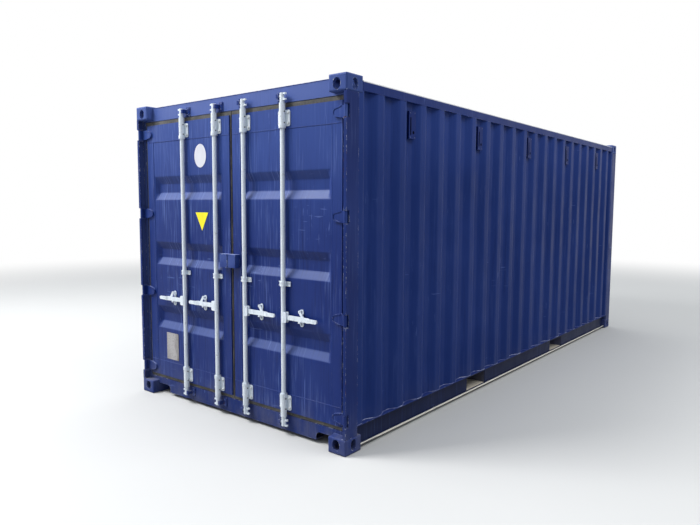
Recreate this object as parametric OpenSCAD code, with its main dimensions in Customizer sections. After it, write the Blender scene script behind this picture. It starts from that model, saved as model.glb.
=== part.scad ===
// Twenty foot steel cargo container with two swinging doors at one end, four
// locking bars with lever handles, corrugated walls and roof, and fork pockets.
// Length runs along X with the doors at the low end, width along Y, height
// along Z, and the origin lies in the middle of the ground plane.

/* [Overall size] */
// Outside length over the corner castings
length = 6058; // [5000:1:13716]
// Outside width over the corner castings
width = 2438; // [2200:1:2600]
// Outside height over the corner castings
height = 2591; // [2400:1:2900]

/* [Corner castings] */
// Casting size along the container
casting_length = 178; // [160:1:200]
// Casting size across the container
casting_width = 162; // [150:1:180]
// Casting height
casting_height = 118; // [110:1:130]
// Wall that the apertures pass through
casting_wall = 28; // [16:1:32]
// Wall on the blind inner sides
casting_back_wall = 14; // [8:1:16]
// Rounding of the casting edges
casting_edge = 14; // [4:1:20]
// Length of the upper and lower lock slot
lock_slot_length = 124.5; // [110:0.5:130]
// Width of the upper and lower lock slot
lock_slot_width = 63.5; // [50:0.5:70]
// Lock slot centre from the end face
lock_slot_from_end = 102.5; // [90:0.5:110]
// Lock slot centre from the side face
lock_slot_from_side = 89.5; // [80:0.5:100]
// Width of the aperture in the long side
side_aperture_width = 51; // [40:1:60]
// Width of the aperture in the end
end_aperture_width = 63.5; // [50:0.5:70]
// Height of the side and end apertures
aperture_height = 79; // [70:1:85]
// Side and end aperture centres from the corner edge
aperture_from_corner = 88; // [80:1:95]
// Side and end aperture centres from the outer face
aperture_from_face = 66; // [60:1:70]

/* [Door end posts] */
// Post front behind the door end plane
post_setback = 3; // [1:1:10]
// Post side behind the casting side, also used for the front posts
post_inset = 3; // [1:1:6]
// Sheet of the outer post member
post_sheet = 6; // [4:1:8]
// Depth of the outer post member
post_depth = 130; // [110:1:160]
// Width of the lip that covers the hinge groove
post_lip = 26; // [20:1:32]
// Plate of the inner post member
post_plate = 12; // [8:1:14]
// Inner post member behind the door end plane
post_step = 62; // [58:1:70]
// Width of the whole post across the container
post_width = 46; // [40:1:60]

/* [Front posts] */
// Length of the side leg
front_post_side = 150; // [120:1:170]
// Length of the end leg
front_post_end = 159; // [120:1:180]
// Width of the returned edges
front_post_return = 46; // [30:1:60]

/* [Door header and sill] */
// Face of header and sill behind the door end plane
threshold_setback = 66; // [64:1:72]
// Height of the header
header_height = 114; // [90:1:130]
// Header top below the container top
header_drop = 16; // [8:1:30]
// Sheet of header and sill
threshold_sheet = 4; // [3:0.5:6]
// Height of the sill lip
sill_lip_height = 120; // [100:1:130]
// Depth of the sill shelf in front of the floor
sill_shelf = 42; // [40:1:60]
// Depth of the slope from shelf to floor
sill_slope = 8; // [4:1:20]
// Depth of the level strip at the floor
sill_strip = 38; // [20:1:60]
// Width of the hand cut-out beside each lower casting
sill_notch_width = 167; // [120:1:200]
// Height of the hand cut-out
sill_notch_height = 62; // [50:1:80]
// Corner radius of the hand cut-out
sill_notch_radius = 36; // [10:1:40]

/* [Underframe] */
// Ground clearance of the rails and sills
rail_clearance = 28; // [20:1:40]
// Height of the bottom side rail
rail_height = 158; // [140:1:180]
// Web of the bottom side rail behind the casting side
rail_web_inset = 48; // [44:1:60]
// Width of the lower rail flange
rail_flange = 30; // [20:1:44]
// Sheet of the bottom side rail
rail_sheet = 4.5; // [4:0.5:6]
// Top of the floor above ground
floor_level = 180; // [170:1:190]
// Floor thickness
floor_board = 28; // [20:1:30]
// Sheet length of the floor boards
floor_sheet_length = 1220; // [800:1:2440]
// Width of the joint between floor sheets
floor_joint = 3; // [1:1:5]
// Depth of the joint between floor sheets
floor_joint_depth = 3; // [1:1:5]
// Height of a cross member
cross_height = 122; // [100:1:122]
// Flange of a cross member
cross_flange = 45; // [35:1:60]
// Sheet of a cross member
cross_sheet = 4; // [3:0.5:6]
// Spacing of the cross members
cross_pitch = 285; // [250:1:400]
// Fork pocket centres apart
pocket_spacing = 2050; // [1600:1:2200]
// Clear width of a fork pocket
pocket_width = 360; // [300:1:380]
// Clear height of a fork pocket
pocket_height = 115; // [100:1:118]
// Sheet of a fork pocket
pocket_sheet = 4.5; // [3:0.5:6]
// Length of the plate under each pocket mouth
pocket_sill = 250; // [150:1:400]

/* [Side walls] */
// Wall face behind the casting side
wall_inset = 5; // [4:1:8]
// Wall sheet
wall_sheet = 2; // [1.6:0.1:3]
// Depth of a wall trough
wall_depth = 36; // [30:1:38]
// Spacing of the wall troughs
wall_pitch = 278; // [250:1:300]
// Floor width of a wall trough
wall_floor = 70; // [50:1:80]
// Run of a trough slope along the wall
wall_slope = 68; // [50:1:75]
// Plain strip between the end plane and the first trough
wall_margin = 196; // [180:1:210]
// Run of the short slope at the first trough
wall_short_slope = 18; // [10:1:30]

/* [Top rails and roof] */
// Width of the top side rail
top_rail_width = 60; // [50:1:70]
// Height of the top side rail
top_rail_height = 65; // [50:1:70]
// Wall of the top side rail
top_rail_sheet = 4; // [3:0.5:5]
// Top side rail behind the casting side
top_rail_inset = 4; // [3:1:8]
// Top of the rails below the casting top
top_rail_drop = 31; // [26:1:40]
// Roof sheet
roof_sheet = 2; // [1.6:0.1:3]
// Height of a roof ridge
roof_ridge = 20; // [12:1:22]
// Spacing of the roof ridges
roof_pitch = 209; // [180:1:260]
// Top width of a roof ridge
roof_ridge_top = 91; // [60:1:100]
// Run of a ridge slope along the roof
roof_slope = 14; // [10:1:24]
// Run of the ridge ends
roof_end_slope = 60; // [30:1:90]
// Flat roof margin beside the ridge ends
roof_margin = 70; // [60:1:120]
// Roof edge behind the rail side
roof_edge = 12; // [6:1:20]
// Thickness of the plate between the front castings
front_plate = 4; // [3:0.5:6]

/* [Front wall] */
// Front sill and rail behind the front end plane
front_setback = 5; // [3:1:10]
// Depth of front sill and front rail
front_beam = 60; // [56:1:70]
// Sheet of the front sill
front_sheet = 4; // [3:0.5:6]
// Front wall face behind the front end plane
front_wall_setback = 10; // [9:1:14]
// Depth of a front wall trough
front_depth = 45.6; // [36:0.1:46]
// Spacing of the front wall troughs
front_pitch = 250; // [220:1:280]
// Floor width of a front wall trough
front_floor = 104; // [80:1:110]
// Run of a front trough slope
front_slope = 18; // [14:1:40]

/* [Cargo doors] */
// Leaf face behind the door end plane
leaf_setback = 55; // [52:1:56]
// Leaf depth
leaf_depth = 50; // [44:1:54]
// Leaf steel from the centre line
leaf_centre_gap = 18; // [14:1:24]
// Leaf steel from the post
leaf_post_gap = 32; // [26:1:36]
// Leaf steel above the sill lip
leaf_foot_gap = 32; // [28:1:38]
// Leaf steel below the header
leaf_head_gap = 36; // [28:1:40]
// Width of the upright members
leaf_stile = 92; // [80:1:104]
// Height of the lower member
leaf_foot = 136; // [120:1:160]
// Height of the upper member
leaf_head = 149; // [130:1:165]
// Sheet of the leaf members
leaf_sheet = 4; // [3:0.5:5]
// Panel face behind the leaf face
panel_setback = 2; // [1:1:4]
// Panel sheet
panel_sheet = 2; // [1.6:0.1:3]
// Depth of a door trough
panel_trough_depth = 36; // [25:1:38]
// Mouth height of a door trough
panel_trough_mouth = 205; // [160:1:240]
// Floor height of a door trough
panel_trough_floor = 75; // [50:1:100]
// Run of the closed trough ends
panel_end_run = 40; // [20:1:60]
// Spacing of the three door troughs
panel_trough_pitch = 575; // [480:1:620]
// Flat margin between panel edge and trough end
panel_margin = 10; // [6:1:30]

/* [Door gaskets] */
// Gasket front behind the leaf face
gasket_setback = 11; // [6:1:14]
// Gasket depth
gasket_depth = 30; // [24:1:34]
// Gasket from the centre line
gasket_centre_gap = 4.5; // [4:0.5:6]
// Running gap from gasket to post, header and sill
gasket_gap = 5; // [4:0.5:8]
// Width of the groove between the two gasket lips
gasket_groove = 10; // [6:1:12]
// Depth of the groove between the two gasket lips
gasket_groove_depth = 8; // [4:1:9]

/* [Hinges] */
// Hinge pin axis behind the door end plane
hinge_setback = 17; // [15:1:20]
// Hinge pin axis behind the casting side
hinge_inset = 22; // [20:1:24]
// Hinge pin diameter
hinge_pin = 12; // [8:1:14]
// Running clearance between pin and knuckle
hinge_clearance = 0.05; // [0.01:0.01:0.1]
// Knuckle diameter
hinge_knuckle = 24; // [20:1:25]
// Knuckle height
hinge_height = 82; // [60:1:84]
// Gap between knuckle and lug
hinge_lug_gap = 1; // [0.5:0.5:2]
// Lug thickness
hinge_lug = 12; // [8:1:14]
// Blade thickness
hinge_blade = 12; // [8:1:13]
// Blade height at its tip
hinge_tip_height = 60; // [40:1:66]
// Blade tip from the container side
hinge_reach = 158; // [130:1:180]
// Height of the two raised blade edges
hinge_rib = 4; // [2:1:5]
// Width of the two raised blade edges
hinge_rib_width = 7; // [5:1:10]
// Outer hinges from the nearest casting
hinge_end = 126.5; // [110:0.5:200]
// Outer hinge to the next inner hinge
hinge_spacing = 699; // [600:1:760]
// Height of the post notch at a hinge
hinge_notch = 92; // [90:1:110]
// Rear edge of the post notch behind the end plane
hinge_notch_reach = 34.5; // [33:0.5:40]

/* [Locking bars] */
// Bar axis behind the door end plane
bar_setback = 32; // [31:1:33]
// Axis of the outer bars from the centre line
bar_outer = 595; // [560:1:640]
// Axis of the inner bars from the centre line
bar_inner = 172; // [160:1:200]
// Bar diameter
bar_diameter = 34; // [27:1:34]
// Bar wall
bar_wall = 4; // [3:0.5:5]
// Running clearance between bar and guide
bar_clearance = 0.1; // [0.01:0.01:0.1]
// Middle of the bar fittings above the middle height
fitting_rise = 4.5; // [0:0.5:10]
// Gap between header underside and guide tube end
cam_level_gap = 6; // [4:1:10]
// Cam head height
cam_height = 65; // [50:1:70]
// Cam core diameter
cam_core = 36; // [35:1:37]
// Thickness of a cam jaw
cam_jaw = 12; // [8:1:16]
// Width of a cam jaw
cam_jaw_width = 18; // [12:1:24]
// Reach of the cam jaws from the bar axis
cam_reach = 42; // [36:1:48]
// Height of the first jaw above the cam foot
cam_jaw_level = 13; // [6:1:16]
// Height of the cam tail
cam_tail_height = 16; // [10:1:18]
// Width of the cam tail
cam_tail_width = 14; // [10:1:15]
// Reach of the cam tail from the bar axis
cam_tail = 28; // [26:0.5:28]
// Foot of the cam tail above the cam foot
cam_tail_level = 31; // [26:1:34]

/* [Cam keepers] */
// Keeper lip edge from the bar axis
keeper_lip_inner = 23; // [22:0.5:24]
// Keeper wall from the bar axis
keeper_wall_inner = 34; // [34:0.5:36]
// Keeper wall thickness
keeper_wall = 10; // [6:1:12]
// Keeper outer edge from the bar axis
keeper_outer = 75; // [65:1:90]
// Keeper lip thickness
keeper_lip = 8; // [5:1:9]
// Gap between keeper lip and cam tail
keeper_gap = 6; // [5:0.5:7]
// Keeper base thickness
keeper_base = 8; // [6:1:12]
// Keeper base height
keeper_base_height = 74; // [60:1:80]
// Keeper hook height
keeper_hook_height = 32; // [24:1:40]

/* [Bar guides] */
// Guide tube diameter
guide_tube = 46; // [42:1:46]
// Guide plate thickness
guide_plate = 6; // [4:1:8]
// Guide plate corner radius
guide_corner = 14; // [6:1:20]
// Half width of the end guide plates
guide_end_half = 59; // [45:1:70]
// End guide plate edge from the guide tube end
guide_end_margin = 49; // [40:1:60]
// Height of the end guide plates
guide_end_height = 115; // [90:1:130]
// Length of the end guide tubes
guide_tube_length = 179; // [150:1:190]
// Collar height at the inner end of the guide tube
guide_collar = 9; // [5:1:14]
// Collar diameter
guide_collar_diameter = 50; // [47:1:54]
// Level of the middle guides
guide_mid_level = 1148; // [1080:1:1250]
// Height of the middle guides
guide_mid_height = 48; // [36:1:60]
// Half width of the middle guides
guide_mid_half = 57; // [45:1:70]

/* [Handles] */
// Level of the handle pivots
handle_level = 903; // [850:1:1000]
// Pivot from the bar axis
handle_pivot = 31; // [30:0.5:34]
// Pivot pin diameter
handle_pin = 12; // [8:1:12]
// Running clearance between pivot pin and lever
handle_clearance = 0.05; // [0.01:0.01:0.1]
// Hub height
hub_height = 80; // [60:1:90]
// Hub reach from the bar axis
hub_reach = 46; // [44:1:50]
// Thickness of the front hub cheek
hub_front_cheek = 9; // [6:1:10]
// Thickness of the rear hub cheek
hub_rear_cheek = 8; // [6:1:9]
// Hub corner radius
hub_corner = 14; // [6:1:20]
// Side gap between lever and hub cheek
hub_gap = 0.5; // [0.3:0.1:1]
// Lever thickness
lever_thickness = 14; // [10:1:15]
// Lever face behind the door end plane
lever_setback = 22; // [20:1:23]
// Lever height
lever_height = 34; // [26:1:36]
// Rounding of the lever at its pivot
lever_eye = 12; // [10:1:12]
// Lever tip from the bar axis
lever_reach = 345; // [300:1:380]
// Length of the grip
grip_length = 92; // [70:1:110]
// Forward step of the grip
grip_step = 10; // [5:1:12]
// Grip thickness
grip_thickness = 12; // [8:1:14]
// Grip height
grip_height = 28; // [20:1:32]
// Run of the step between lever and grip
grip_run = 22; // [14:1:30]
// Seal ear position from the bar axis
ear_offset = 170; // [150:1:190]
// Seal ear top above the lever centre line
ear_rise = 66; // [50:1:74]
// Seal ear lean toward the bar
ear_lean = 28; // [10:1:36]
// Seal ear width
ear_width = 26; // [18:1:30]
// Seal ear thickness
ear_thickness = 8; // [5:1:10]
// Seal hole diameter
ear_hole = 10; // [6:1:12]

/* [Handle retainers] */
// Half width of a retainer
retainer_half = 22; // [14:1:30]
// Running gap between lever and tray
retainer_gap = 0.6; // [0.3:0.1:1]
// Tray thickness
retainer_tray = 7; // [4:1:10]
// Tray front behind the door end plane
retainer_front = 18; // [16:1:22]
// Depth of the hanging edge of the tray
retainer_edge = 16; // [10:1:24]
// Retainer plate top above the lever centre line
retainer_rise = 82; // [60:1:90]
// Retainer plate foot below the lever centre line
retainer_drop = 43; // [34:1:60]

/* [Lock box] */
// Lock box reach from the centre line
lockbox_half = 92; // [70:1:110]
// Lock box gap from the centre line
lockbox_gap = 5; // [4:0.5:8]
// Lock box front behind the door end plane
lockbox_setback = 5; // [3:1:15]
// Lock box foot above ground
lockbox_level = 1232; // [1100:1:1400]
// Lock box height
lockbox_height = 105; // [80:1:120]
// Lock box sheet
lockbox_sheet = 4; // [3:0.5:5]

/* [Ventilators] */
// Ventilator width at its face
vent_width = 90; // [70:1:100]
// Ventilator width at its back
vent_back_width = 66; // [50:1:68]
// Ventilator depth
vent_depth = 25; // [18:1:30]
// Ventilator height
vent_height = 207; // [160:1:230]
// Ventilator top below the container top
vent_drop = 157; // [140:1:200]
// Ventilator sheet
vent_sheet = 2.5; // [2:0.5:4]
// Wall troughs between two ventilators
vent_step = 4; // [2:1:5]
// Ventilators on each half of a side
vent_half_count = 2; // [1:1:2]

/* [Hidden] */
$fn = 64;
// Overlap of every cut past the face it opens
past = 1;

side_y = width / 2;
mid_level = height / 2;

post_outer = side_y - post_inset;
post_inner = post_outer - post_width;
post_rear = post_setback + post_depth;
groove_inner = post_inner + post_plate;
groove_outer = post_outer - post_sheet;
groove_front = post_setback + post_sheet;
post_foot = casting_height;
post_height = height - 2 * casting_height;
casting_inner_y = side_y - casting_width;
front_post_rear = post_setback + front_post_side;
front_post_inner = post_outer - front_post_end;

header_top = height - header_drop;
header_bottom = header_top - header_height;
sill_lip_top = rail_clearance + sill_lip_height;
sill_rear = threshold_setback + sill_shelf + sill_slope + sill_strip;

rail_web_outer = side_y - rail_web_inset;
rail_web_inner = rail_web_outer - rail_sheet;
rail_top = rail_clearance + rail_height;
rail_length = length - post_rear - front_post_rear;
floor_bottom = floor_level - floor_board;
cross_bottom = floor_bottom - cross_height;
pocket_x = pocket_spacing / 2;
pocket_floor = rail_clearance + rail_sheet;
pocket_half = pocket_width / 2 + pocket_sheet;
front_floor_edge = front_setback + front_beam;
floor_start = -length / 2 + sill_rear;
floor_end = length / 2 - front_floor_edge;

wall_outer = side_y - wall_inset;
wall_trough = wall_outer - wall_depth;
top_rail_top = height - top_rail_drop;
top_rail_bottom = top_rail_top - top_rail_height;
top_rail_outer = side_y - top_rail_inset;
wall_half_count = floor((length / 2 - wall_margin - wall_short_slope - wall_floor / 2 + past) / wall_pitch);
roof_half = top_rail_outer - roof_edge;
roof_length = length - 2 * casting_length;
roof_half_count = floor((roof_length / 2 - roof_ridge_top / 2 - roof_slope - roof_slope) / roof_pitch);
front_half_width = front_post_inner;
front_half_count = floor((front_half_width - front_floor / 2 - front_slope - front_slope) / front_pitch);

leaf_inner = leaf_centre_gap;
leaf_outer = post_inner - leaf_post_gap;
leaf_bottom = sill_lip_top + leaf_foot_gap;
leaf_top = header_bottom - leaf_head_gap;
leaf_rear = leaf_setback + leaf_depth;
leaf_width = leaf_outer - leaf_inner;
leaf_height = leaf_top - leaf_bottom;
panel_low = leaf_bottom + leaf_foot;
panel_high = leaf_top - leaf_head;
panel_near = leaf_inner + leaf_stile;
panel_far = leaf_outer - leaf_stile;
panel_front = leaf_setback + panel_setback;
panel_trough_slope = (panel_trough_mouth - panel_trough_floor) / 2;

gasket_front = leaf_setback + gasket_setback;
gasket_outer = post_inner - gasket_gap;
gasket_top = header_bottom - gasket_gap;
gasket_bottom = sill_lip_top + gasket_gap;

hinge_y = side_y - hinge_inset;
hinge_tip_y = side_y - hinge_reach;
hinge_low = casting_height + hinge_end;
hinge_high = height - casting_height - hinge_end;
hinge_levels = [
    hinge_low,
    hinge_low + hinge_spacing,
    hinge_high - hinge_spacing,
    hinge_high
];

fitting_mid = mid_level + fitting_rise;
cam_foot = header_bottom;
guide_tube_top = cam_foot - cam_level_gap;
lever_mid = lever_setback + lever_thickness / 2;
door_sides = [1, -1];

// Paint and surface colours

paint = [0.10, 0.16, 0.42];
casting_paint = [0.12, 0.17, 0.40];
zinc = [0.74, 0.77, 0.82];
rubber = [0.24, 0.25, 0.22];
plywood = [0.52, 0.38, 0.24];

// Placing helpers

// Local X counts from the door end plane inward
module at_door_end() {
    translate([-length / 2, 0, 0])
        children();
}

// Local X counts from the front end plane inward
module at_front_end() {
    translate([length / 2, 0, 0])
        mirror([1, 0, 0])
            children();
}

// Keeps the left side as drawn and mirrors the right side
module on_side(side) {
    if (side > 0)
        children();
    else
        mirror([0, 1, 0])
            children();
}

// Turns a level drawn at the top into its lower counterpart
module at_lower_fittings() {
    translate([0, 0, 2 * fitting_mid])
        mirror([0, 0, 1])
            children();
}

// Profile in Y and Z, drawn out along X
module along_x(run) {
    rotate([90, 0, 90])
        linear_extrude(height = run)
            children();
}

// Profile in X and Z, drawn out along Y
module along_y(run) {
    translate([0, run, 0])
        rotate([90, 0, 0])
            linear_extrude(height = run)
                children();
}

// Profile helpers

// Rounded slot with its long way along the first direction
module slot_profile(long, wide) {
    square([long - wide, wide], center = true);
    for (end = [-1, 1])
        translate([end * (long - wide) / 2, 0])
            circle(d = wide);
}

// Rectangle with four round corners from the origin
module round_plate(across, up, radius) {
    translate([radius, 0])
        square([across - 2 * radius, up]);
    translate([0, radius])
        square([across, up - 2 * radius]);
    for (x = [radius, across - radius], y = [radius, up - radius])
        translate([x, y])
            circle(r = radius);
}

// Corner castings

// Casting with its corner at the origin and its outer face at the bottom
module corner_casting() {
    difference() {
        intersection() {
            linear_extrude(height = casting_height)
                round_plate(casting_length, casting_width, casting_edge);
            along_y(casting_width)
                round_plate(casting_length, casting_height, casting_edge);
            along_x(casting_length)
                round_plate(casting_width, casting_height, casting_edge);
        }
        translate([casting_wall, casting_wall, casting_wall])
            cube([
                casting_length - casting_wall - casting_back_wall,
                casting_width - casting_wall - casting_back_wall,
                casting_height - casting_wall - casting_back_wall
            ]);
        translate([lock_slot_from_end, lock_slot_from_side, -past])
            linear_extrude(height = casting_wall + 2 * past)
                slot_profile(lock_slot_length, lock_slot_width);
        translate([aperture_from_corner, -past, aperture_from_face])
            along_y(casting_wall + 2 * past)
                rotate(90)
                    slot_profile(aperture_height, side_aperture_width);
        translate([-past, aperture_from_corner, aperture_from_face])
            along_x(casting_wall + 2 * past)
                rotate(90)
                    slot_profile(aperture_height, end_aperture_width);
    }
}

// Lower pair of castings at one end
module casting_pair_low() {
    for (side = door_sides)
        on_side(side)
            translate([0, side_y, 0])
                mirror([0, 1, 0])
                    corner_casting();
}

// Upper pair of castings at one end
module casting_pair_high() {
    translate([0, 0, height])
        mirror([0, 0, 1])
            casting_pair_low();
}

module door_castings_top() {
    color(casting_paint)
        at_door_end()
            casting_pair_high();
}

module door_castings_bottom() {
    color(casting_paint)
        at_door_end()
            casting_pair_low();
}

module front_castings_top() {
    color(casting_paint)
        at_front_end()
            casting_pair_high();
}

module front_castings_bottom() {
    color(casting_paint)
        at_front_end()
            casting_pair_low();
}

// Room that the castings of one end take on the left side
module casting_room() {
    for (level = [-past, height - casting_height])
        translate([-past, casting_inner_y, level])
            cube([casting_length + past, casting_width + past, casting_height + past]);
}

// Posts

module door_post_profile() {
    translate([post_setback, groove_outer])
        square([post_depth, post_sheet]);
    translate([post_setback, post_outer - post_lip])
        square([post_sheet, post_lip]);
    translate([post_rear - post_sheet, post_inner])
        square([post_sheet, post_outer - post_inner]);
    translate([post_step, post_inner])
        square([post_rear - post_step, post_plate]);
    translate([post_step, post_inner])
        square([post_plate, post_outer - post_inner]);
}

// Post with an open groove at the front and a notch at each hinge
module door_post() {
    difference() {
        translate([0, 0, post_foot])
            linear_extrude(height = post_height)
                door_post_profile();
        for (level = hinge_levels)
            translate([0, groove_inner, level - hinge_notch / 2])
                cube([hinge_notch_reach, post_outer - groove_inner + past, hinge_notch]);
    }
}

module door_post_left() {
    color(paint)
        at_door_end()
            door_post();
}

module door_post_right() {
    color(paint)
        at_door_end()
            on_side(-1)
                door_post();
}

module front_post_profile() {
    translate([post_setback, groove_outer])
        square([front_post_side, post_sheet]);
    translate([post_setback, front_post_inner])
        square([post_sheet, front_post_end]);
    translate([front_post_rear - post_sheet, post_outer - front_post_return])
        square([post_sheet, front_post_return]);
    translate([post_setback, front_post_inner])
        square([front_post_return, post_sheet]);
}

module front_posts() {
    color(paint)
        at_front_end()
            for (side = door_sides)
                on_side(side)
                    translate([0, 0, post_foot])
                        linear_extrude(height = post_height)
                            front_post_profile();
}

// Header and sills

module header_profile() {
    difference() {
        translate([threshold_setback, header_bottom])
            square([casting_length - threshold_setback, header_height]);
        translate([threshold_setback + threshold_sheet, header_bottom + threshold_sheet])
            square([
                casting_length - threshold_setback - 2 * threshold_sheet,
                header_height - 2 * threshold_sheet
            ]);
    }
}

// Header between the castings, with a narrow foot that reaches the posts
module door_header() {
    color(paint)
        at_door_end()
            difference() {
                translate([0, -post_inner, 0])
                    along_y(2 * post_inner)
                        header_profile();
                for (side = door_sides)
                    on_side(side)
                        casting_room();
            }
}

module sill_profile() {
    shelf = threshold_setback + sill_shelf;
    crest = shelf + sill_slope;
    polygon([
        [threshold_setback, rail_clearance],
        [threshold_setback, sill_lip_top],
        [shelf, sill_lip_top],
        [crest, floor_level],
        [sill_rear, floor_level],
        [sill_rear, floor_level - threshold_sheet],
        [crest + threshold_sheet, floor_level - threshold_sheet],
        [shelf + threshold_sheet, sill_lip_top - threshold_sheet],
        [threshold_setback + threshold_sheet, sill_lip_top - threshold_sheet],
        [threshold_setback + threshold_sheet, rail_clearance + threshold_sheet],
        [sill_rear, rail_clearance + threshold_sheet],
        [sill_rear, rail_clearance]
    ]);
}

// Hand cut-out beside a casting, round at its inner upper corner
module sill_notch() {
    radius = sill_notch_radius;
    translate([0, casting_inner_y - sill_notch_width, rail_clearance - past])
        along_x(sill_rear + past)
            union() {
                translate([radius, 0])
                    square([sill_notch_width - radius + past, sill_notch_height + past]);
                square([sill_notch_width, sill_notch_height + past - radius]);
                translate([radius, sill_notch_height + past - radius])
                    circle(r = radius);
            }
}

module door_sill() {
    color(paint)
        at_door_end()
            difference() {
                translate([0, -post_inner, 0])
                    along_y(2 * post_inner)
                        sill_profile();
                for (side = door_sides)
                    on_side(side) {
                        casting_room();
                        sill_notch();
                        translate([post_rear, rail_web_inner, 0])
                            cube([casting_length, post_inner, height]);
                    }
            }
}

// Tube and cover plate between the upper front castings
module front_top_rail() {
    color(paint)
        at_front_end()
            translate([0, -casting_inner_y, 0])
                along_y(2 * casting_inner_y)
                    union() {
                        difference() {
                            translate([front_setback, top_rail_bottom])
                                square([front_beam, top_rail_height]);
                            translate([front_setback + top_rail_sheet, top_rail_bottom + top_rail_sheet])
                                square([
                                    front_beam - 2 * top_rail_sheet,
                                    top_rail_height - 2 * top_rail_sheet
                                ]);
                        }
                        translate([front_setback, top_rail_top])
                            square([casting_length - front_setback, front_plate]);
                    }
}

// Channel between the lower front castings, open toward the floor
module front_sill() {
    rear = front_setback + front_beam;
    inner_front = front_setback + front_sheet;
    color(paint)
        at_front_end()
            translate([0, -casting_inner_y, 0])
                along_y(2 * casting_inner_y)
                    polygon([
                        [front_setback, rail_clearance],
                        [front_setback, floor_level],
                        [rear, floor_level],
                        [rear, floor_level - front_sheet],
                        [inner_front, floor_level - front_sheet],
                        [inner_front, rail_clearance + front_sheet],
                        [rear, rail_clearance + front_sheet],
                        [rear, rail_clearance]
                    ]);
}

// Side rails

module top_rail() {
    difference() {
        translate([-roof_length / 2, top_rail_outer - top_rail_width, top_rail_bottom])
            cube([roof_length, top_rail_width, top_rail_height]);
        translate([
            -roof_length / 2 - past,
            top_rail_outer - top_rail_width + top_rail_sheet,
            top_rail_bottom + top_rail_sheet
        ])
            cube([
                roof_length + 2 * past,
                top_rail_width - 2 * top_rail_sheet,
                top_rail_height - 2 * top_rail_sheet
            ]);
    }
}

module top_rail_left() {
    color(paint)
        top_rail();
}

module top_rail_right() {
    color(paint)
        on_side(-1)
            top_rail();
}

// Channel open outward, seen from the end
module bottom_rail_profile() {
    translate([rail_web_inner, rail_clearance])
        square([rail_sheet, rail_height]);
    translate([rail_web_inner, rail_clearance])
        square([rail_sheet + rail_flange, rail_sheet]);
    translate([rail_web_inner, rail_top - rail_sheet])
        square([post_outer - rail_web_inner, rail_sheet]);
}

// Rail between the posts, notched over the castings and open at the pockets
module bottom_rail() {
    difference() {
        translate([-length / 2 + post_rear, 0, 0])
            along_x(rail_length)
                bottom_rail_profile();
        at_door_end()
            casting_room();
        at_front_end()
            casting_room();
        for (end = [-1, 1])
            translate([
                end * pocket_x - pocket_width / 2,
                rail_web_inner - past,
                pocket_floor
            ])
                cube([pocket_width, rail_sheet + 2 * past, pocket_height]);
    }
}

module bottom_rail_left() {
    color(paint)
        bottom_rail();
}

module bottom_rail_right() {
    color(paint)
        on_side(-1)
            bottom_rail();
}

// Side walls

// Widening that keeps a shifted slope at the full sheet thickness
function slope_spread(shift, run, rise) = shift * (norm([run, rise]) - run) / rise;

// Points along the wall face, shifted inward by a given amount
function wall_points(shift) = concat(
    [[-length / 2 + post_rear, wall_outer - shift]],
    [
        for (i = [-wall_half_count:wall_half_count])
            let (
                middle = i * wall_pitch,
                before = i == -wall_half_count ? wall_short_slope : wall_slope,
                after = i == wall_half_count ? wall_short_slope : wall_slope,
                low = wall_floor / 2 + slope_spread(shift, before, wall_depth),
                high = wall_floor / 2 + slope_spread(shift, after, wall_depth)
            )
                each [
                    [middle - low - before, wall_outer - shift],
                    [middle - low, wall_trough - shift],
                    [middle + high, wall_trough - shift],
                    [middle + high + after, wall_outer - shift]
                ]
    ],
    [[length / 2 - front_post_rear, wall_outer - shift]]
);

function backwards(list) = [for (i = [len(list) - 1:-1:0]) list[i]];

module side_wall() {
    difference() {
        translate([0, 0, rail_top])
            linear_extrude(height = top_rail_bottom - rail_top)
                polygon(concat(wall_points(0), backwards(wall_points(wall_sheet))));
        at_door_end()
            casting_room();
        at_front_end()
            casting_room();
    }
}

module side_wall_left() {
    color(paint)
        side_wall();
}

module side_wall_right() {
    color(paint)
        on_side(-1)
            side_wall();
}

// Front wall

// Points across the front wall face, shifted inward by a given amount
function front_points(shift) = concat(
    [[front_wall_setback + shift, -front_half_width]],
    [
        for (i = [-front_half_count:front_half_count])
            let (
                middle = i * front_pitch,
                half = front_floor / 2 + slope_spread(shift, front_slope, front_depth),
                face = front_wall_setback + shift
            )
                each [
                    [face, middle - half - front_slope],
                    [face + front_depth, middle - half],
                    [face + front_depth, middle + half],
                    [face, middle + half + front_slope]
                ]
    ],
    [[front_wall_setback + shift, front_half_width]]
);

module front_wall() {
    color(paint)
        at_front_end()
            difference() {
                translate([0, 0, floor_level])
                    linear_extrude(height = top_rail_bottom - floor_level)
                        polygon(concat(front_points(0), backwards(front_points(wall_sheet))));
                for (side = door_sides)
                    on_side(side)
                        casting_room();
            }
}

// Roof

// Comb of ridge sections along the roof, drawn out across it
module roof_comb(drop) {
    foot = -roof_sheet - past;
    spread = roof_slope / roof_ridge;
    half = roof_ridge_top / 2 - slope_spread(drop, roof_slope, roof_ridge);
    translate([0, -roof_half, 0])
        along_y(2 * roof_half)
            for (i = [-roof_half_count:roof_half_count])
                translate([i * roof_pitch, 0])
                    polygon([
                        [-half - (roof_ridge - foot) * spread, foot - drop],
                        [-half, roof_ridge - drop],
                        [half, roof_ridge - drop],
                        [half + (roof_ridge - foot) * spread, foot - drop]
                    ]);
}

// Cross section that slopes down at both ridge ends, drawn out along the roof
module roof_cross(drop) {
    foot = -roof_sheet - past;
    spread = roof_end_slope / roof_ridge;
    top_half = roof_half - roof_margin - roof_end_slope;
    translate([-roof_length / 2, 0, 0])
        along_x(roof_length)
            polygon([
                [-top_half - (roof_ridge - foot) * spread, foot - drop],
                [-top_half, roof_ridge - drop],
                [top_half, roof_ridge - drop],
                [top_half + (roof_ridge - foot) * spread, foot - drop]
            ]);
}

// Ridges with four sloped flanks each
module roof_ridges(drop) {
    intersection() {
        roof_comb(drop);
        roof_cross(drop);
    }
}

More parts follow.
